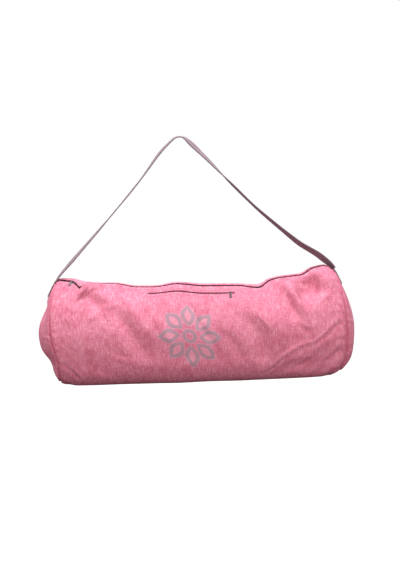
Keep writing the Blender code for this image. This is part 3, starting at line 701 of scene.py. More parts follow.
body_finish = canvas("pink_canvas_body", CLOTH_PINK, CLOTH_DARK, CLOTH_LIGHT)
x, y = body_finish.along("cloth")
wander = body_finish.noise(x, y, 220.0, 220.0, detail=2.0, shift=31.0) * 0.0020 - 0.0010
across_print = x - PRINT_ALONG
down_print = y - PRINT_FALL
radius = (across_print * across_print + down_print * down_print).math("SQRT")
eighth = math.pi / 4
bearing = down_print.math("ARCTAN2", across_print).math("WRAP", eighth / 2, -eighth / 2)
petal_along = radius * bearing.math("COSINE") + wander
petal_aside = abs(radius * bearing.math("SINE")) + wander


def leaf(start, end, width):
    """How far a place lies inside a leaf that runs outward from the print's middle."""
    share = ((petal_along - start) / (end - start)).math("MAXIMUM", 0.0).math("MINIMUM", 1.0)
    beyond = (start - petal_along).math("MAXIMUM", petal_along - end).math("MAXIMUM", 0.0)
    return (share * math.pi).math("SINE") * (width / 2) - petal_aside - beyond


petal = leaf(PRINT_PETAL_START, PRINT_PETAL_END, PRINT_PETAL_WIDTH)
hole = leaf(PRINT_HOLE_START, PRINT_HOLE_END, PRINT_HOLE_WIDTH)
petal_ink = petal.step(-0.0002, 0.0006) * hole.step(0.0006, -0.0002)
ring = PRINT_RING_STROKE / 2 - abs(radius + wander - PRINT_RING)
ink = petal_ink.math("MAXIMUM", ring.step(-0.0002, 0.0006))
bleed = petal.step(-PRINT_BLEED, -0.0004).math("MAXIMUM", ring.step(-PRINT_BLEED, -0.0004)) * (1 - ink)
covered = body_finish.noise(x, y, 620.0, 340.0, detail=2.0, shift=41.0).step(0.30, 0.50) * 0.24 + 0.74
body_colour = body_finish.mix(body_finish.colour, CLOTH_LIGHT, bleed * 0.35)
body_colour = body_finish.mix(body_colour, PRINT_INK, ink * covered)
# The cloth is painted darker within a few millimetres of each end seam: painted shade for the seam's crevice.
from_seam = x.math("MINIMUM", BODY_LENGTH - x)
body_colour = body_finish.mix(body_colour, CLOTH_DARK, from_seam.step(0.0080, 0.0010) * SEAM_PAINTED_SHADE)
body_finish.set(base_color=body_colour)

body_cloth = add_mesh(
    "body_cloth",
    body_points,
    grid_cells(*body_falls.shape, outside_pocket),
    body_finish,
    replaced=["body_panel"],
    layers={"cloth": body_uv},
)
thicken(body_cloth, CLOTH_WALL)

# End panels
# Each end is closed by an oval of the same canvas, set into the tube's end with a turned seam. It is a little
# larger than the opening, so it crowns outward, and it puckers where the seam gathers it.
SEWING_GAP = 0.0003
END_RINGS = 40
END_SPOKES = 300
END_POLE_ROUND = 0.16
END_GATHER = 0.0014
END_GATHER_PITCH = 0.021
END_SLUMP = 0.003
END_TUCK_SPREAD = 0.020
END_TUCK_OVER = 0.064
END_TUCK_UNDER = 0.056
STRAP_WIDTH = 0.032
STRAP_SEWN_LENGTH = 0.036

# crown: how far the end bulges, share of BODY_DEPTH. top_power and base_power: how square it is over and
# under its middle. high_tuck and low_tuck: how far it caves in over and under its middle.
End = namedtuple("End", "name side crown top_power base_power high_tuck low_tuck")
ENDS = (
    End("left", -1, 0.150, 1.4, 1.35, 0.005, 0.008),
    End("right", 1, 0.148, 1.4, 3.6, 0.000, 0.000),
)


def end_rim(end):
    return skin[0 if end.side < 0 else -1]


def end_places(end, share, girth):
    """Places on a crowned end, from shares of the way from its pole to its seam and of the way round."""
    share, girth = np.broadcast_arrays(np.asarray(share, float), np.asarray(girth, float))
    loop = np.linspace(0, 1, COLUMNS)
    rim = np.stack([np.interp(girth, loop, end_rim(end)[:, i]) for i in range(3)], axis=-1)
    upness = (1 + np.cos(2 * math.pi * girth)) / 2
    power = end.base_power + (end.top_power - end.base_power) * upness
    flat = math.sqrt(1 + END_POLE_ROUND**2) - END_POLE_ROUND
    soft = (np.sqrt(share**2 + END_POLE_ROUND**2) - END_POLE_ROUND) / flat
    pole = HANG_OFFSET + end.side * (HALF_LENGTH + end.crown * BODY_DEPTH)
    middle = np.array([0.0, AXIS_Z])
    places = np.empty(share.shape + (3,))
    places[..., 0] = pole + (rim[..., 0] - pole) * soft**power
    places[..., 1:] = middle + (rim[..., 1:] - middle) * share[..., None]
    radius = np.linalg.norm(rim[..., 1:] - middle, axis=-1)
    inset = (1 - share) * radius
    top = end_rim(end)[0, 2]
    low, high = top - 1.6 * STRAP_SEWN_LENGTH, top - 1.1 * STRAP_SEWN_LENGTH
    under_strap = np.exp(-((places[..., 1] / (0.8 * STRAP_WIDTH)) ** 4)) * ramp(places[..., 2], low, high)
    gathers = uneven_wave(girth * mean_girth, END_GATHER_PITCH, 40 + end.side)
    gathers = END_GATHER * gathers * np.exp(-inset / PUCKER_REACH) * ramp(inset, 0.0, 0.008)
    slump = END_SLUMP * np.sin(3 * math.pi * share + 4 * math.pi * girth + end.side) * share * (1 - share)
    over = (places[..., 2] - AXIS_Z - END_TUCK_OVER) / END_TUCK_SPREAD
    under = (places[..., 2] - AXIS_Z + END_TUCK_UNDER) / END_TUCK_SPREAD
    tuck = end.high_tuck * np.exp(-(over**2) / 2) + end.low_tuck * np.exp(-(under**2))
    slump = slump - tuck * ramp(inset, 0.0, 0.020)
    wall = (SEWING_GAP + CLOTH_WALL) * ramp(inset, 0.0, SEAM_ROLL) + SEWING_GAP
    places[..., 0] += end.side * ((gathers + slump) * (1 - under_strap) + wall)
    drawn = SEAM_ROLL + seam_groove(girth)
    drawn = 1 - drawn * (1 - ramp(inset, 0.0, 2 * SEAM_ROLL)) / np.maximum(radius, 0.02)
    places[..., 1:] = middle + (places[..., 1:] - middle) * drawn[..., None]
    return places


def ring_cells(count, pairs):
    """The faces between pairs of rings of count points, each ring given by its number."""
    return [
        (a * count + i, a * count + (i + 1) % count, b * count + (i + 1) % count, b * count + i)
        for a, b in pairs
        for i in range(count)
    ]


for end in ENDS:
    around = np.arange(END_SPOKES) / END_SPOKES
    insets = np.concatenate([np.linspace(0, 0.05, 7)[:-1], np.linspace(0.05, 1, END_RINGS)])[:-1]
    rings = end_places(end, (1 - insets)[:, None], around[None, :])
    pole_place = end_places(end, np.zeros(1), np.array([0.25]))
    points = np.vstack([rings.reshape(-1, 3), pole_place])
    rim_radius = np.linalg.norm(rings[0][:, 1:] - [0.0, AXIS_Z], axis=1)
    seam_uv = np.stack([insets[:, None] * rim_radius, 0 * insets[:, None] + around * mean_girth], axis=-1)
    seam_uv = np.vstack([seam_uv.reshape(-1, 2), [[rim_radius.mean(), 0.0]]])
    cells = ring_cells(END_SPOKES, pairwise(range(len(insets))))
    last = (len(insets) - 1) * END_SPOKES
    cells += [(last + i, last + (i + 1) % END_SPOKES, len(points) - 1) for i in range(END_SPOKES)]
    if end.side < 0:
        cells = [tuple(reversed(cell)) for cell in cells]
    end_finish = canvas(f"pink_canvas_end_{end.name}", CLOTH_PINK, CLOTH_DARK, CLOTH_LIGHT)
    # The rim is painted darker next to the seam: painted shade for the seam's crevice.
    seam_painted_shade = end_finish.along("seam")[0].step(0.0060, 0.0008)
    end_finish.set(base_color=end_finish.mix(end_finish.colour, CLOTH_DARK, seam_painted_shade * SEAM_PAINTED_SHADE))
    panel = add_mesh(
        f"end_cloth_{end.name}",
        points,
        cells,
        end_finish,
        replaced=[f"end_panel_{end.name}"],
        layers={"cloth": points[:, 1:], "seam": seam_uv},
    )
    thicken(panel, CLOTH_WALL)

# Zips
# A coil zip closes the whole length of the top, and another the pocket. Each is two woven tapes, sewn behind
# the folded hems, and a nylon coil on each tape whose loops mesh down the middle. All of it is dark maroon.
TAPE_REACH = 0.007
TAPE_THICKNESS = 0.0008
COIL_WIDTH = 0.0040
COIL_HEIGHT = 0.0016
COIL_PITCH = 0.00142
COIL_WIRE = 0.00034
COIL_STEPS = 8
COIL_SIDES = 5
COIL_INSET = 0.001
TAPE_MAROON = (0.105, 0.022, 0.042)
TAPE_DUSTY = (0.240, 0.085, 0.120)
TAPE_RIB = 0.0007
COIL_MAROON = (0.085, 0.020, 0.038)
COIL_SCUFFED = (0.200, 0.075, 0.105)

tape_finish = Finish("maroon_zip_tape")
x, y = tape_finish.along("tape")
slant = abs((y * 560.0).math("WRAP", 0.5, -0.5)) * 0.0018
herringbone = ((x + slant) * (2 * math.pi / TAPE_RIB)).math("SINE")
dust = tape_finish.noise(x, y, 300.0, 300.0, detail=3.0)
tape_finish.set(
    base_color=tape_finish.mix(TAPE_MAROON, TAPE_DUSTY, herringbone.step(-0.4, 1.0) * 0.35 + dust * 0.15),
    normal=tape_finish.relief(herringbone, 0.00012, 0.7),
    roughness=0.82 + dust * 0.1,
    specular_ior_level=0.3,
)

coil_finish = Finish("maroon_zip_coil")
x, y = coil_finish.along("coil")
scuffs = coil_finish.noise(x, y, 140.0, 3.0, detail=4.0, roughness=0.7)
coil_finish.set(
    base_color=coil_finish.mix(COIL_MAROON, COIL_SCUFFED, scuffs.step(0.5, 0.75) * 0.6),
    roughness=0.36 + scuffs * 0.2,
    normal=coil_finish.relief(scuffs, 0.00005, 0.6),
)


def bar_cells(rings, count, first=0):
    """The faces of a bar: rings of count points in a row, and its two closed ends."""
    cells = ring_cells(count, pairwise(range(first, first + rings)))
    cells.append(tuple(reversed(range(first * count, (first + 1) * count))))
    cells.append(tuple(range((first + rings - 1) * count, (first + rings) * count)))
    return cells


def tube(path, radius, sides):
    """A round bar along a path, as points and faces."""
    tangent = unit(np.gradient(path, axis=0))
    side = unit(np.cross(tangent[0], [0.3, 0.8, 0.5]))
    frames = []
    for way in tangent:
        side = side - way * side.dot(way)
        side = side / np.linalg.norm(side)
        frames.append(side)
    first = np.array(frames)
    second = np.cross(tangent, first)
    angles = 2 * math.pi * np.arange(sides) / sides
    rings = path[:, None, :] + radius * (
        np.cos(angles)[None, :, None] * first[:, None, :] + np.sin(angles)[None, :, None] * second[:, None, :]
    )
    return rings.reshape(-1, 3), bar_cells(len(path), sides)


def joined(*solids):
    """Several solids as one mesh's points and faces."""
    points, cells = [], []
    for made, faces in solids:
        shift = sum(len(part) for part in points)
        cells += [tuple(i + shift for i in face) for face in faces]
        points.append(made)
    return np.vstack(points), cells


def coil_half(start, end, middle, side):
    """One tape's coil: a flattened spiral whose heads reach just past the zip's middle."""
    turns = int((end - start) / COIL_PITCH)
    turn = np.arange(turns * COIL_STEPS + 1) / COIL_STEPS
    angle = 2 * math.pi * turn
    along = start + (turn + (0.5 if side > 0 else 0.0)) * COIL_PITCH
    along = np.clip(along, start, end)
    reach = COIL_WIDTH / 4 - COIL_WIRE / 2
    aside = middle + side * (COIL_WIDTH / 4 - 0.0001 + reach * np.cos(angle))
    height = COIL_HEIGHT / 2 - CLOTH_WALL + (COIL_HEIGHT / 2 - COIL_WIRE) * np.sin(angle)
    path = on_skin(along / BODY_LENGTH, aside, height)
    points, cells = tube(path, COIL_WIRE, COIL_SIDES)
    uv = np.repeat(np.stack([along, aside], axis=1), COIL_SIDES, axis=0)
    return points, cells, uv


def add_zip(name, start, end, tape_start, tape_end, middle, window, tapes):
    """The two tapes and the coil of one zip, behind its window in the cloth."""
    stations = stepped((tape_start, tape_end, OPEN_STEP)) / BODY_LENGTH
    half = window / 2 + TAPE_REACH
    sunk = CLOTH_WALL + SEWING_GAP
    under_coil = 0.0011
    for tape, side in zip(tapes, (-1, 1)):
        spread = np.array([half, half * 0.8, window / 2, COIL_WIDTH / 2, under_coil, SEWING_GAP / 2])
        spread = np.sort(spread * side + middle)
        places = np.repeat(stations, len(spread))
        falls_here = np.tile(spread, len(stations))
        points = on_skin(places, falls_here, -sunk)
        uv = np.stack([places * BODY_LENGTH, falls_here], axis=1)
        strip = add_mesh(
            f"{name}_woven_{tape}",
            points,
            grid_cells(len(stations), len(spread)),
            tape_finish,
            replaced=[f"{name}_{tape}"],
            layers={"tape": uv},
        )
        thicken(strip, TAPE_THICKNESS)
    halves = [coil_half(start, end, middle, side) for side in (-1, 1)]
    points, cells = joined(*(half[:2] for half in halves))
    add_mesh(
        f"{name}_coil_loops",
        points,
        cells,
        coil_finish,
        replaced=[f"{name}_coil"],
        layers={"coil": np.vstack([half[2] for half in halves])},
    )


add_zip(
    "main_zip",
    COIL_INSET,
    BODY_LENGTH - COIL_INSET,
    0.0,
    BODY_LENGTH,
    0.0,
    MAIN_ZIP_WINDOW,
    ("tape_back", "tape_front"),
)
add_zip(
    "pocket_zip",
    pocket_start + SEWING_GAP,
    pocket_end - SEWING_GAP,
    pocket_start - TAPE_REACH,
    pocket_end + TAPE_REACH,
    POCKET_ZIP_DROP,
    POCKET_ZIP_WINDOW,
    ("tape_upper", "tape_lower"),
)

# Sliders and pulls
# Each zip runs on a die-cast zinc slider with a bridge on its plate. A flat pull hangs from the bridge by its
# rolled eye and lies on the cloth. Both are nickel plated, gone dull, with rubbed edges.
SLIDER_LENGTH = 0.011
SLIDER_PLATE = 0.0013
BRIDGE_HEIGHT = 0.0034
BRIDGE_LENGTH = 0.0062
BRIDGE_BAR = 0.0010
BRIDGE_CORNER = 0.0008
PULL_LENGTH = 0.0150
PULL_WIDTH = 0.0052
PULL_THICKNESS = 0.0010
PULL_EYE_RADIUS = 0.0016
PULL_PLAY = 0.0004
PULL_LEAN_DEG = 11.0
EYE_BORE_SHARE = 0.56
MAIN_SLIDER_SHARE = 0.058
POCKET_SLIDER_SHARE = 0.95
PULL_RECESS = 0.00018
RIM_SHARE = 0.68
EYE_SIDES = 24
OBJECT_PLACE = 3
METAL_GREY = (0.060, 0.050, 0.056)
METAL_WORN = (0.130, 0.112, 0.120)

# The plate's half width along its length, from its open end to its closed end.
PlateWidth = namedtuple("PlateWidth", "along width")
PLATE = (
    PlateWidth(-1.00, 0.00240),
    PlateWidth(-0.88, 0.00335),
    PlateWidth(-0.45, 0.00380),
    PlateWidth(0.10, 0.00350),
    PlateWidth(0.70, 0.00275),
    PlateWidth(1.00, 0.00190),
)

# The pull's tab beyond its eye. reach: share of PULL_LENGTH. width: share of PULL_WIDTH.
Tab = namedtuple("Tab", "reach width")
TAB = (
    Tab(0.08, 0.46),
    Tab(0.30, 0.65),
    Tab(0.45, 1.00),
    Tab(0.88, 1.00),
    Tab(1.00, 0.64),
)

metal_finish = Finish("dull_nickel")
spot = metal_finish.node("ShaderNodeTexCoord", {}, {}, output=OBJECT_PLACE)
casting_grain = metal_finish.grain(spot, 900.0, 4.0)
patches = metal_finish.grain(spot, 240.0, 3.0)
metal_finish.set(
    base_color=metal_finish.mix(METAL_GREY, METAL_WORN, patches.step(0.48, 0.70) * 0.7),
    metallic=1.0,
    roughness=0.34 + patches * 0.25,
    normal=metal_finish.relief(casting_grain, 0.00004, 0.5),
)


def plate_solid(outline, low, high, recess=0.0):
    """A flat casting between two heights from its outline; a sunk field leaves it a raised rim."""
    count = len(outline)
    middle = outline.mean(axis=0)
    inner = middle + (outline - middle) * RIM_SHARE
    levels = [(outline, low), (outline, high), (inner, high), (inner, high - recess)]
    levels += [(inner, low), (inner, low + recess)]
    points = np.vstack([np.column_stack([shape, np.full(count, level)]) for shape, level in levels])
    cells = ring_cells(count, ((0, 1), (1, 2), (2, 3), (5, 4), (4, 0)))
    cells.append(tuple(3 * count + i for i in range(count)))
    cells.append(tuple(5 * count + i for i in reversed(range(count))))
    return points, cells


def outline_of(along, width):
    """A closed outline, symmetric about its length, from places along it and half widths there."""
    return np.vstack([np.column_stack([along, width]), np.column_stack([along, -width])[::-1]])


def bevelled(piece, width):
    bevel = piece.modifiers.new("cast_edge", "BEVEL")
    bevel.width = width
    bevel.segments = 2
    bevel.limit_method = "ANGLE"
    bevel.angle_limit = math.radians(40)
    piece.data.set_sharp_from_angle(angle=math.radians(50))


def add_slider(name, station, fall, body):
    """A slider on the coil, and the pull that hangs from its bridge."""
    half = SLIDER_LENGTH / 2
    start, end = (on_skin(station + side * half / BODY_LENGTH, fall) for side in (-1, 1))
    along = unit(end - start)
    low, high = (on_skin(station, fall + side * PLATE[2].width) for side in (-1, 1))
    out = unit(np.cross(high - low, along))
    down = np.cross(along, out)
    seat = (start + end) / 2 + out * (COIL_HEIGHT - CLOTH_WALL + SEWING_GAP)
    turn = np.stack([along, down, out])

    reach = np.linspace(-1, 1, 13)
    outline = outline_of(reach * half, eased(PLATE, "along", "width", reach))
    plate = plate_solid(outline[::-1], 0.0, SLIDER_PLATE)
    post = BRIDGE_LENGTH / 2 - BRIDGE_BAR / 2
    corner = np.linspace(0, math.pi / 2, 5)
    bend_across = BRIDGE_CORNER * (1 - np.sin(corner))
    bend_down = BRIDGE_CORNER * (1 - np.cos(corner))
    left = np.column_stack([-post + bend_across, BRIDGE_HEIGHT - bend_down])
    right = left * [-1, 1]
    arch = np.vstack([[-post, SLIDER_PLATE * 0.5], left[::-1], right, [post, SLIDER_PLATE * 0.5]])
    bridge = tube(np.column_stack([arch[:, 0], np.zeros(len(arch)), arch[:, 1]]), BRIDGE_BAR / 2, 10)
    points, cells = joined(plate, bridge)
    slider = add_mesh(
        f"{name}_slider_casting",
        seat + points @ turn,
        cells,
        metal_finish,
        replaced=[f"{name}_slider"],
    )
    bevelled(slider, 0.00022)

    lean = math.radians(PULL_LEAN_DEG)
    hangs = down * math.cos(lean) - out * math.sin(lean)
    face = np.cross(hangs, along)
    axis = seat + out * BRIDGE_HEIGHT
    frame_of_pull = np.stack([hangs, along, face])
    tab_reach = np.array([row.reach for row in TAB])
    tab_width = np.array([row.width for row in TAB])
    fine = np.concatenate([tab_reach[:2], np.linspace(0.34, 1.0, 12)])
    tab_outline = outline_of(fine * PULL_LENGTH, np.interp(fine, tab_reach, tab_width) * PULL_WIDTH / 2)
    tab = plate_solid(tab_outline[::-1], -PULL_THICKNESS / 2, PULL_THICKNESS / 2, PULL_RECESS)
    bore = PULL_EYE_RADIUS * EYE_BORE_SHARE
    half_eye = BRIDGE_LENGTH / 2 - BRIDGE_BAR - PULL_PLAY
    turns = 2 * math.pi * np.arange(EYE_SIDES) / EYE_SIDES
    section = [(PULL_EYE_RADIUS, -half_eye), (PULL_EYE_RADIUS, half_eye), (bore, half_eye), (bore, -half_eye)]
    eye_points = np.array([(r * math.cos(t), a, r * math.sin(t)) for t in turns for r, a in section])
    eye_cells = ring_cells(len(section), pairwise([*range(EYE_SIDES), 0]))
    points, cells = joined(tab, (eye_points, eye_cells))
    pull = add_mesh(
        f"{name}_pull_tab",
        axis + points @ frame_of_pull,
        cells,
        metal_finish,
        replaced=[f"{name}_pull"],
        body=body,
    )
    bevelled(pull, 0.00016)


add_slider("main_zip", MAIN_SLIDER_SHARE, 0.0, "main_pull")
pocket_slider = (pocket_start + POCKET_SLIDER_SHARE * POCKET_ZIP_LENGTH) / BODY_LENGTH
add_slider("pocket_zip", pocket_slider, POCKET_ZIP_DROP, "pocket_pull")

# Shoulder strap
# One flat strap of mauve canvas, folded double and topstitched near both edges. Its ends are sewn flat to the
# end panels below the seam, and it turns a little about its length on its way up to where it hangs.
STRAP_THICKNESS = 0.0026
STRAP_RISE = 0.007
STRAP_BEND = 0.020
HOOK_RADIUS = 0.020
STRAP_STITCH_INSET = 0.0028
STRAP_ROUND_EDGE = 0.0016
STRAP_DITCH_WIDTH = 0.0009
STRAP_PUCKER_PITCH = 0.012
STRAP_RIPPLE_DEG = 2.2
STRAP_FOOT_ROWS = 15
STRAP_BEND_ROWS = 12
STRAP_LEG_ROWS = 120
STRAP_HOOK_ROWS = 16
STRAP_COLUMNS = 17
STRAP_MAUVE = (0.225, 0.150, 0.180)
STRAP_DARK = (0.140, 0.094, 0.120)
STRAP_LIGHT = (0.285, 0.200, 0.235)

# The strap's turn about its own length. way: share of the strap from its left end to its right end. turn_deg:
# how far its face is turned to the front. bow: how far it swings out of the straight, share of STRAP_WIDTH.
Turn = namedtuple("Turn", "way turn_deg bow")
STRAP_TURNS = (
    Turn(0.00, 0.0, 0.0),
    Turn(0.05, 8.0, 0.0),
    Turn(0.12, 12.0, 0.03),
    Turn(0.25, 3.0, 0.08),
    Turn(0.34, 5.0, 0.04),
    Turn(0.43, 10.0, -0.14),
    Turn(0.48, 7.0, -0.02),
    Turn(0.52, 24.0, 0.02),
    Turn(0.57, 16.0, 0.10),
    Turn(0.64, 2.0, 0.27),
    Turn(0.74, -2.0, 0.42),
    Turn(0.85, -12.0, 0.34),
    Turn(0.92, -18.0, 0.03),
    Turn(0.96, -12.0, 0.0),
    Turn(1.00, 0.0, 0.0),
)


def end_face(end, y, z):
    """How far out an end's cloth reaches at a place given by y and z."""
    loop = np.linspace(0, 1, COLUMNS)[:-1]
    rim = end_rim(end)[:-1]
    bearing = np.mod(np.arctan2(-rim[:, 1], rim[:, 2] - AXIS_Z), 2 * math.pi)
    order = np.argsort(bearing)
    wanted = np.mod(np.arctan2(-y, z - AXIS_Z), 2 * math.pi)
    unrolled = np.unwrap(loop[order] * 2 * math.pi) / (2 * math.pi)
    turned = bearing[order]
    turned = np.concatenate([[turned[-1] - 2 * math.pi], turned, [turned[0] + 2 * math.pi]])
    unrolled = np.concatenate([[unrolled[-1] - 1], unrolled, [unrolled[0] + 1]])
    girth = np.mod(np.interp(wanted, turned, unrolled), 1.0)
    reach = np.stack([np.interp(girth, loop, rim[:, i], period=1.0) for i in (1, 2)], axis=-1)
    share = np.hypot(y, z - AXIS_Z) / np.hypot(reach[..., 0], reach[..., 1] - AXIS_Z)
    return end_places(end, np.minimum(share, 1.0), girth)[..., 0]


def half_strap(end, centre, radius):
    """The strap's middle line from one sewn end up to the top of its bend, as x and z."""
    top = end_rim(end)[0]
    z = np.linspace(top[2] - STRAP_SEWN_LENGTH, top[2], STRAP_FOOT_ROWS)
    pole = HANG_OFFSET + end.side * (HALF_LENGTH + end.crown * BODY_DEPTH)
    share = (z - AXIS_Z) / (top[2] - AXIS_Z)
    x = pole + (top[0] - pole) * share**end.top_power
    x = x + end.side * (2 * SEWING_GAP + CLOTH_WALL + STRAP_THICKNESS / 2)
    foot = np.stack([x, z], axis=1)
    rise = unit(foot[-1] - foot[-4])
    corner = foot[-1] + rise * STRAP_RISE
    gap = centre - corner
    distance = np.hypot(*gap)
    bearing = math.atan2(gap[1], gap[0]) - end.side * math.asin(radius / distance)
    way = np.array([math.cos(bearing), math.sin(bearing)])
    touch = corner + way * math.sqrt(distance**2 - radius**2)
    bend_end = corner + way * STRAP_BEND
    t = np.linspace(0, 1, STRAP_BEND_ROWS)[1:, None]
    bend = (1 - t) ** 2 * foot[-1] + 2 * t * (1 - t) * corner + t**2 * bend_end
    leg = bend_end + (touch - bend_end) * np.linspace(0, 1, STRAP_LEG_ROWS)[1:, None]
    start = math.atan2(*(touch - centre)[::-1])
    turn = np.linspace(start, math.pi / 2, STRAP_HOOK_ROWS)[1:]
    arc = centre + radius * np.stack([np.cos(turn), np.sin(turn)], axis=1)
    return np.vstack([foot, bend, leg, arc])


hook_radius = HOOK_RADIUS + STRAP_THICKNESS / 2
hook_centre = np.array([0.0, -HOOK_RADIUS])
left_half, right_half = (half_strap(end, hook_centre, hook_radius) for end in ENDS)
strap_line = np.vstack([left_half, right_half[::-1][1:]])
strap_steps = np.linalg.norm(np.diff(strap_line, axis=0), axis=1)
strap_length = strap_steps.sum()
strap_way = np.concatenate([[0], np.cumsum(strap_steps)]) / strap_length
strap_tangent = unit(np.gradient(strap_line, axis=0))
free = ramp(strap_way, 0.05, 0.12) * (1 - ramp(strap_way, 0.88, 0.95))
ripple = STRAP_RIPPLE_DEG * uneven_wave(strap_way * strap_length, 0.13, 61) * free
strap_turn = np.radians(eased(STRAP_TURNS, "way", "turn_deg", strap_way) + ripple)
strap_bow = eased(STRAP_TURNS, "way", "bow", strap_way) * STRAP_WIDTH
up = np.stack([-strap_tangent[:, 1], np.zeros(len(strap_way)), strap_tangent[:, 0]], axis=1)
level = np.array([0.0, 1.0, 0.0])
strap_middle = np.stack([strap_line[:, 0], np.zeros(len(strap_way)), strap_line[:, 1]], axis=1)
strap_middle = strap_middle - up * strap_bow[:, None]
strap_across = np.cos(strap_turn)[:, None] * level + np.sin(strap_turn)[:, None] * up
strap_facing = np.cos(strap_turn)[:, None] * up - np.sin(strap_turn)[:, None] * level


def strap_height(offset, way):
    """Half the strap's thickness at an offset from its middle: round edges, and pinched at the stitches."""
    edge = np.clip((STRAP_WIDTH / 2 - np.abs(offset)) / STRAP_ROUND_EDGE, 0, 1)
    round_edge = 0.30 + 0.70 * np.sqrt(1 - (1 - edge) ** 2)
    from_stitch = (np.abs(offset) - (STRAP_WIDTH / 2 - STRAP_STITCH_INSET)) / STRAP_DITCH_WIDTH
    ditch = 0.26 * np.exp(-(from_stitch**2))
    pucker = 0.07 * uneven_wave(way * strap_length, STRAP_PUCKER_PITCH, 67)
    pucker = pucker * np.exp(-((from_stitch / 4) ** 2))
    return STRAP_THICKNESS / 2 * (round_edge - ditch + pucker)


def strap_sheet(offsets, way_rows, raised):
    """Places on the strap's upper or lower face, for rows along it and offsets across it."""
    rows = np.asarray(way_rows, float)
    read = [np.stack([np.interp(rows, strap_way, grid[:, i]) for i in range(3)], axis=-1)
            for grid in (strap_middle, strap_across, strap_facing)]
    middle, across, facing = read
    sheet = middle[:, None, :] + offsets[None, :, None] * across[:, None, :]
    for end in ENDS:
        foot_way = strap_way[STRAP_FOOT_ROWS - 1] if end.side < 0 else strap_way[-STRAP_FOOT_ROWS]
        on_foot = rows <= foot_way + 1e-9 if end.side < 0 else rows >= foot_way - 1e-9
        y, z = sheet[on_foot, :, 1], sheet[on_foot, :, 2]
        lift = SEWING_GAP + STRAP_THICKNESS / 2
        sheet[on_foot, :, 0] = end_face(end, y, z) + end.side * lift
    return sheet + facing[:, None, :] * raised[..., None]


strap_finish = canvas("mauve_canvas_strap", STRAP_MAUVE, STRAP_DARK, STRAP_LIGHT)
x, y = strap_finish.along("cloth")
# The strap's colour is made darker towards both of its edges.
edge_darkening = (STRAP_WIDTH / 2 - abs(y)).step(0.0030, 0.0004)
strap_finish.set(base_color=strap_finish.mix(strap_finish.colour, STRAP_DARK, edge_darkening * 0.45))

strap_offsets = np.sin(np.linspace(-0.5, 0.5, STRAP_COLUMNS) * math.pi) * STRAP_WIDTH / 2
thick = strap_height(strap_offsets[None, :], strap_way[:, None])
strap_end = np.minimum(strap_way, 1 - strap_way) * strap_length
thick = thick * np.clip(0.4 + strap_end / 0.002, 0, 1)[:, None]
faces_up = strap_sheet(strap_offsets, strap_way, thick)
faces_down = strap_sheet(strap_offsets, strap_way, -thick)
ring_points = np.concatenate([faces_up, faces_down[:, ::-1]], axis=1)
ring_size = 2 * STRAP_COLUMNS
ring_offsets = np.concatenate([strap_offsets, strap_offsets[::-1]])
strap_uv = np.stack(
    [np.repeat(strap_way * strap_length, ring_size), np.tile(ring_offsets, len(strap_way))], axis=1
)
add_mesh(
    "shoulder_strap_band",
    ring_points.reshape(-1, 3),
    bar_cells(len(strap_way), ring_size),
    strap_finish,
    replaced=["shoulder_strap"],
    layers={"cloth": strap_uv},
)

# Stitching
# Spun polyester thread in the cloth's own colours. A row runs along each side of the main zip, round the
# pocket's window and near each edge of the strap, and a crossed box holds each end of the strap.
STITCH_PITCH = 0.0034
STITCH_LENGTH = 0.0025
STITCH_RADIUS = 0.00030
STITCH_BURY = 0.00012
STITCH_RINGS = 5
STITCH_SIDES = 6
THREAD_PINK = (0.600, 0.200, 0.300)
THREAD_MAUVE = (0.235, 0.158, 0.188)


def thread(name, colour):
    """Spun thread: fine fibres over a slightly lustrous colour."""
    finish = Finish(name)
    fibres = finish.grain(finish.node("ShaderNodeTexCoord", {}, {}, output=OBJECT_PLACE), 2600.0, 2.0)
    shade = tuple(0.72 * value for value in colour)
    finish.set(
        base_color=finish.mix(shade, colour, fibres.step(0.35, 0.62)),
        roughness=0.55 + fibres * 0.2,
        normal=finish.relief(fibres, 0.00008, 0.6),
        sheen_weight=0.2,
    )
    return finish


def add_stitches(name, places, ways, normals, finish, slot):
    """Short threads that rise out of the cloth and go back into it."""
    along = np.linspace(-0.5, 0.5, STITCH_RINGS)
    size = np.sqrt(np.clip(1 - (2 * along) ** 4, 0.06, 1)) * STITCH_RADIUS
    height = -STITCH_BURY - (2 * along) ** 4 * STITCH_RADIUS
    angles = 2 * math.pi * np.arange(STITCH_SIDES) / STITCH_SIDES
    ways = unit(ways - normals * (ways * normals).sum(axis=1, keepdims=True))
    sides = np.cross(normals, ways)
    centre = places[:, None, :] + along[None, :, None] * STITCH_LENGTH * ways[:, None, :]
    centre = centre + (height[None, :, None] + STITCH_RADIUS * 0.6) * normals[:, None, :]
    ring = np.cos(angles)[None, None, :, None] * sides[:, None, None, :]
    ring = ring + np.sin(angles)[None, None, :, None] * normals[:, None, None, :]
    points = centre[:, :, None, :] + size[None, :, None, None] * ring
    cells = []
    for stitch in range(len(places)):
        cells += bar_cells(STITCH_RINGS, STITCH_SIDES, stitch * STITCH_RINGS)
    return add_mesh(name, points.reshape(-1, 3), cells, finish)


def stitched_line(corners, place_of, normal_of):
    """Evenly pitched stitches along a run of straight lines on a surface."""
    corners = np.asarray(corners, float)
    spots, ways = [], []
    for start, end in zip(corners[:-1], corners[1:]):
        count = max(1, round(np.linalg.norm(end - start) / STITCH_PITCH))
        share = (np.arange(count) + 0.5) / count
        spots.append(start + (end - start) * share[:, None])
        ways.append(np.repeat([(end - start) / np.linalg.norm(end - start)], count, axis=0))
    spots, ways = np.vstack(spots), np.vstack(ways)
    step = 0.0005
    ahead = place_of(spots + ways * step)
    behind = place_of(spots - ways * step)
    return place_of(spots), ahead - behind, normal_of(spots)


def cloth_place(spots):
    return on_cloth(spots[:, 0] / BODY_LENGTH, spots[:, 1])


def cloth_normal(spots):
    return unit(read_grid(skin_normals, spots[:, 0] / BODY_LENGTH, spots[:, 1]))


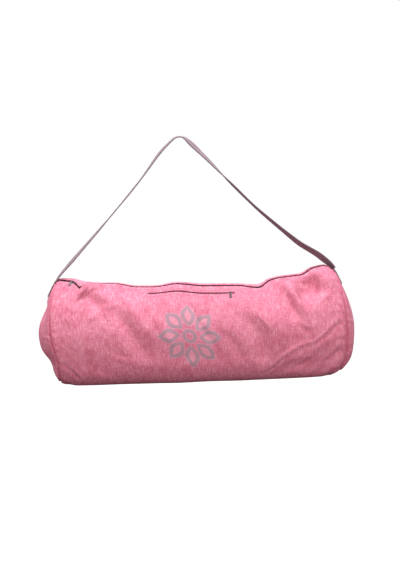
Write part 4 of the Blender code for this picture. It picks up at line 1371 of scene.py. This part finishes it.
pink_thread = thread("pink_thread", THREAD_PINK)
mauve_thread = thread("mauve_thread", THREAD_MAUVE)
hem_row = main_edge + HEM_STITCH
seam_clear = 0.005
for row_name, fall in (("front", hem_row), ("back", -hem_row)):
    row = stitched_line([(seam_clear, fall), (BODY_LENGTH - seam_clear, fall)], cloth_place, cloth_normal)
    add_stitches(f"main_zip_stitches_{row_name}", *row, pink_thread, "panel_cloth")
box_top, box_bottom = pocket_top - HEM_STITCH, pocket_bottom + HEM_STITCH
box_left, box_right = pocket_start - HEM_STITCH, pocket_end + HEM_STITCH
pocket_box = [(box_left, box_top), (box_right, box_top), (box_right, box_bottom), (box_left, box_bottom)]
row = stitched_line([*pocket_box, pocket_box[0]], cloth_place, cloth_normal)
add_stitches("pocket_zip_stitches", *row, pink_thread, "panel_cloth")

strap_rows = np.arange(0.004, strap_length - 0.004, STITCH_PITCH) / strap_length
stitch_offset = STRAP_WIDTH / 2 - STRAP_STITCH_INSET
offsets = np.array([-stitch_offset, stitch_offset])
for face_name, side in (("outer", 1), ("inner", -1)):
    clear = strap_rows
    if side < 0:
        sewn = STRAP_SEWN_LENGTH / strap_length
        clear = strap_rows[(strap_rows > sewn) & (strap_rows < 1 - sewn)]
    height = side * strap_height(offsets[None, :], clear[:, None])
    places = strap_sheet(offsets, clear, height)
    ways = np.gradient(places, axis=0)
    facing = np.stack([np.interp(clear, strap_way, strap_facing[:, i]) for i in range(3)], axis=-1) * side
    normals = np.repeat(facing[:, None, :], 2, axis=1)
    add_stitches(
        f"strap_stitches_{face_name}",
        places.reshape(-1, 3),
        ways.reshape(-1, 3),
        normals.reshape(-1, 3),
        mauve_thread,
        "strap_cloth",
    )


def ways_from(end, spots):
    """Shares of the way along the strap, from distances from one of its ends."""
    ways = spots[:, 0] / strap_length
    return ways if end.side < 0 else 1 - ways


def strap_place(end, spots):
    ways = ways_from(end, spots)
    height = strap_height(spots[:, 1], ways)
    singles = [slice(i, i + 1) for i in range(len(ways))]
    return np.array([strap_sheet(spots[one, 1], ways[one], height[one, None])[0, 0] for one in singles])


def strap_normal(end, spots):
    ways = ways_from(end, spots)
    return np.stack([np.interp(ways, strap_way, strap_facing[:, i]) for i in range(3)], axis=-1)


BOX_NEAR, BOX_FAR = 0.0045, STRAP_SEWN_LENGTH - 0.008
box_wide = stitch_offset - 0.003
box_corners = [(BOX_NEAR, -box_wide), (BOX_NEAR, box_wide), (BOX_FAR, box_wide), (BOX_FAR, -box_wide)]
crossed = [*box_corners, box_corners[0], box_corners[2]]
for end in ENDS:
    for seam, corners in (("box", crossed), ("cross", [box_corners[1], box_corners[3]])):
        row = stitched_line(corners, partial(strap_place, end), partial(strap_normal, end))
        add_stitches(f"strap_{seam}_{end.name}", *row, mauve_thread, "strap_cloth")

# Floor and light
# A plain white studio: a floor well below the bag, and a white wall all round that lights it less from the
# front and from beneath. One soft light hangs overhead, weaker ones stand on the left and behind, and a broad
# one stands low in front.
FLOOR_Z = -1.25
FLOOR_GLOW = 0.45
FLOOR_WHITE = (0.90, 0.90, 0.90)
STUDIO = 14.0
WALL_BEHIND = 1.0
WALL_BEFORE = 0.34
WALL_TURN = (0.0, 0.25)
DIM_BENEATH = (-0.55, -0.15)
WARM_LIMITS = (-0.40, -0.16)
WARM_BENEATH = (1.0, 0.50, 0.27)
TOP_POWER = 129.0
SIDE_POWER = 13.0
FRONT_POWER = 41.0
BACK_POWER = 26.0
WHITE = (1.0, 1.0, 1.0)
COOL_WHITE = (0.90, 1.0, 1.0)
WARM_WHITE = (1.0, 0.94, 0.91)

floor_finish = Finish("studio_white")
floor_finish.set(
    base_color=FLOOR_WHITE,
    roughness=0.9,
    specular_ior_level=0.0,
    emission_color=WHITE,
    emission_strength=FLOOR_GLOW,
)
floor_mesh = bpy.data.meshes.new("floor")
floor_corners = [(x * STUDIO / 2, y * STUDIO / 2, FLOOR_Z) for x, y in ((-1, -1), (1, -1), (1, 1), (-1, 1))]
floor_mesh.from_pydata(floor_corners, [], [(0, 1, 2, 3)])
floor_mesh.materials.append(floor_finish.material)
floor = bpy.data.objects.new("floor", floor_mesh)
bpy.context.scene.collection.objects.link(floor)
floor.visible_diffuse = False
floor.visible_glossy = False


def add_light(name, place, aim, size, power, colour):
    light = bpy.data.lights.new(name, "AREA")
    light.color = colour
    light.shape = "RECTANGLE"
    light.size, light.size_y = size
    light.energy = power
    lamp = bpy.data.objects.new(name, light)
    lamp.location = place
    lamp.rotation_euler = (Vector(aim) - Vector(place)).to_track_quat("-Z", "Y").to_euler()
    bpy.context.scene.collection.objects.link(lamp)


add_light("overhead", (0.0, -0.50, 2.50), (0.0, 0.0, -0.4), (2.4, 0.9), TOP_POWER, COOL_WHITE)
add_light("side", (-1.55, -0.85, 0.35), (0.0, 0.0, -0.4), (1.0, 0.8), SIDE_POWER, WARM_WHITE)
add_light("front", (0.8, -2.4, -0.25), (0.1, 0.0, -0.4), (1.6, 1.2), FRONT_POWER, WARM_WHITE)
add_light("back", (0.1, 1.4, 0.9), (0.0, 0.0, -0.4), (1.6, 0.8), BACK_POWER, COOL_WHITE)


class Surround(Finish):
    """The light from all round in the making, with the same sums as a material."""

    def __init__(self, name):
        self.world = bpy.data.worlds.new(name)
        self.world.use_nodes = True
        self.tree = self.world.node_tree
        self.shader = self.tree.nodes["Background"]

    def between(self, value, limits, low=0.0, high=1.0):
        """Low under the first limit, high over the second and straight between them."""
        ends = {1: limits[0], 2: limits[1], 3: low, 4: high}
        return self.node("ShaderNodeMapRange", {}, {0: value, **ends})


surround = Surround("studio")
_, backward, upward = surround.split(surround.node("ShaderNodeTexCoord", {}, {}))
wall = surround.between(backward, WALL_TURN, WALL_BEFORE, WALL_BEHIND) * surround.between(upward, DIM_BENEATH)
tint = surround.mix(WARM_BENEATH, WHITE, surround.between(upward, WARM_LIMITS))
seen_directly = surround.node("ShaderNodeLightPath", {}, {})
surround.set(color=surround.mix(tint, WHITE, seen_directly), strength=wall.math("MAXIMUM", seen_directly))
bpy.context.scene.world = surround.world
bpy.context.scene.view_settings.view_transform = "Standard"
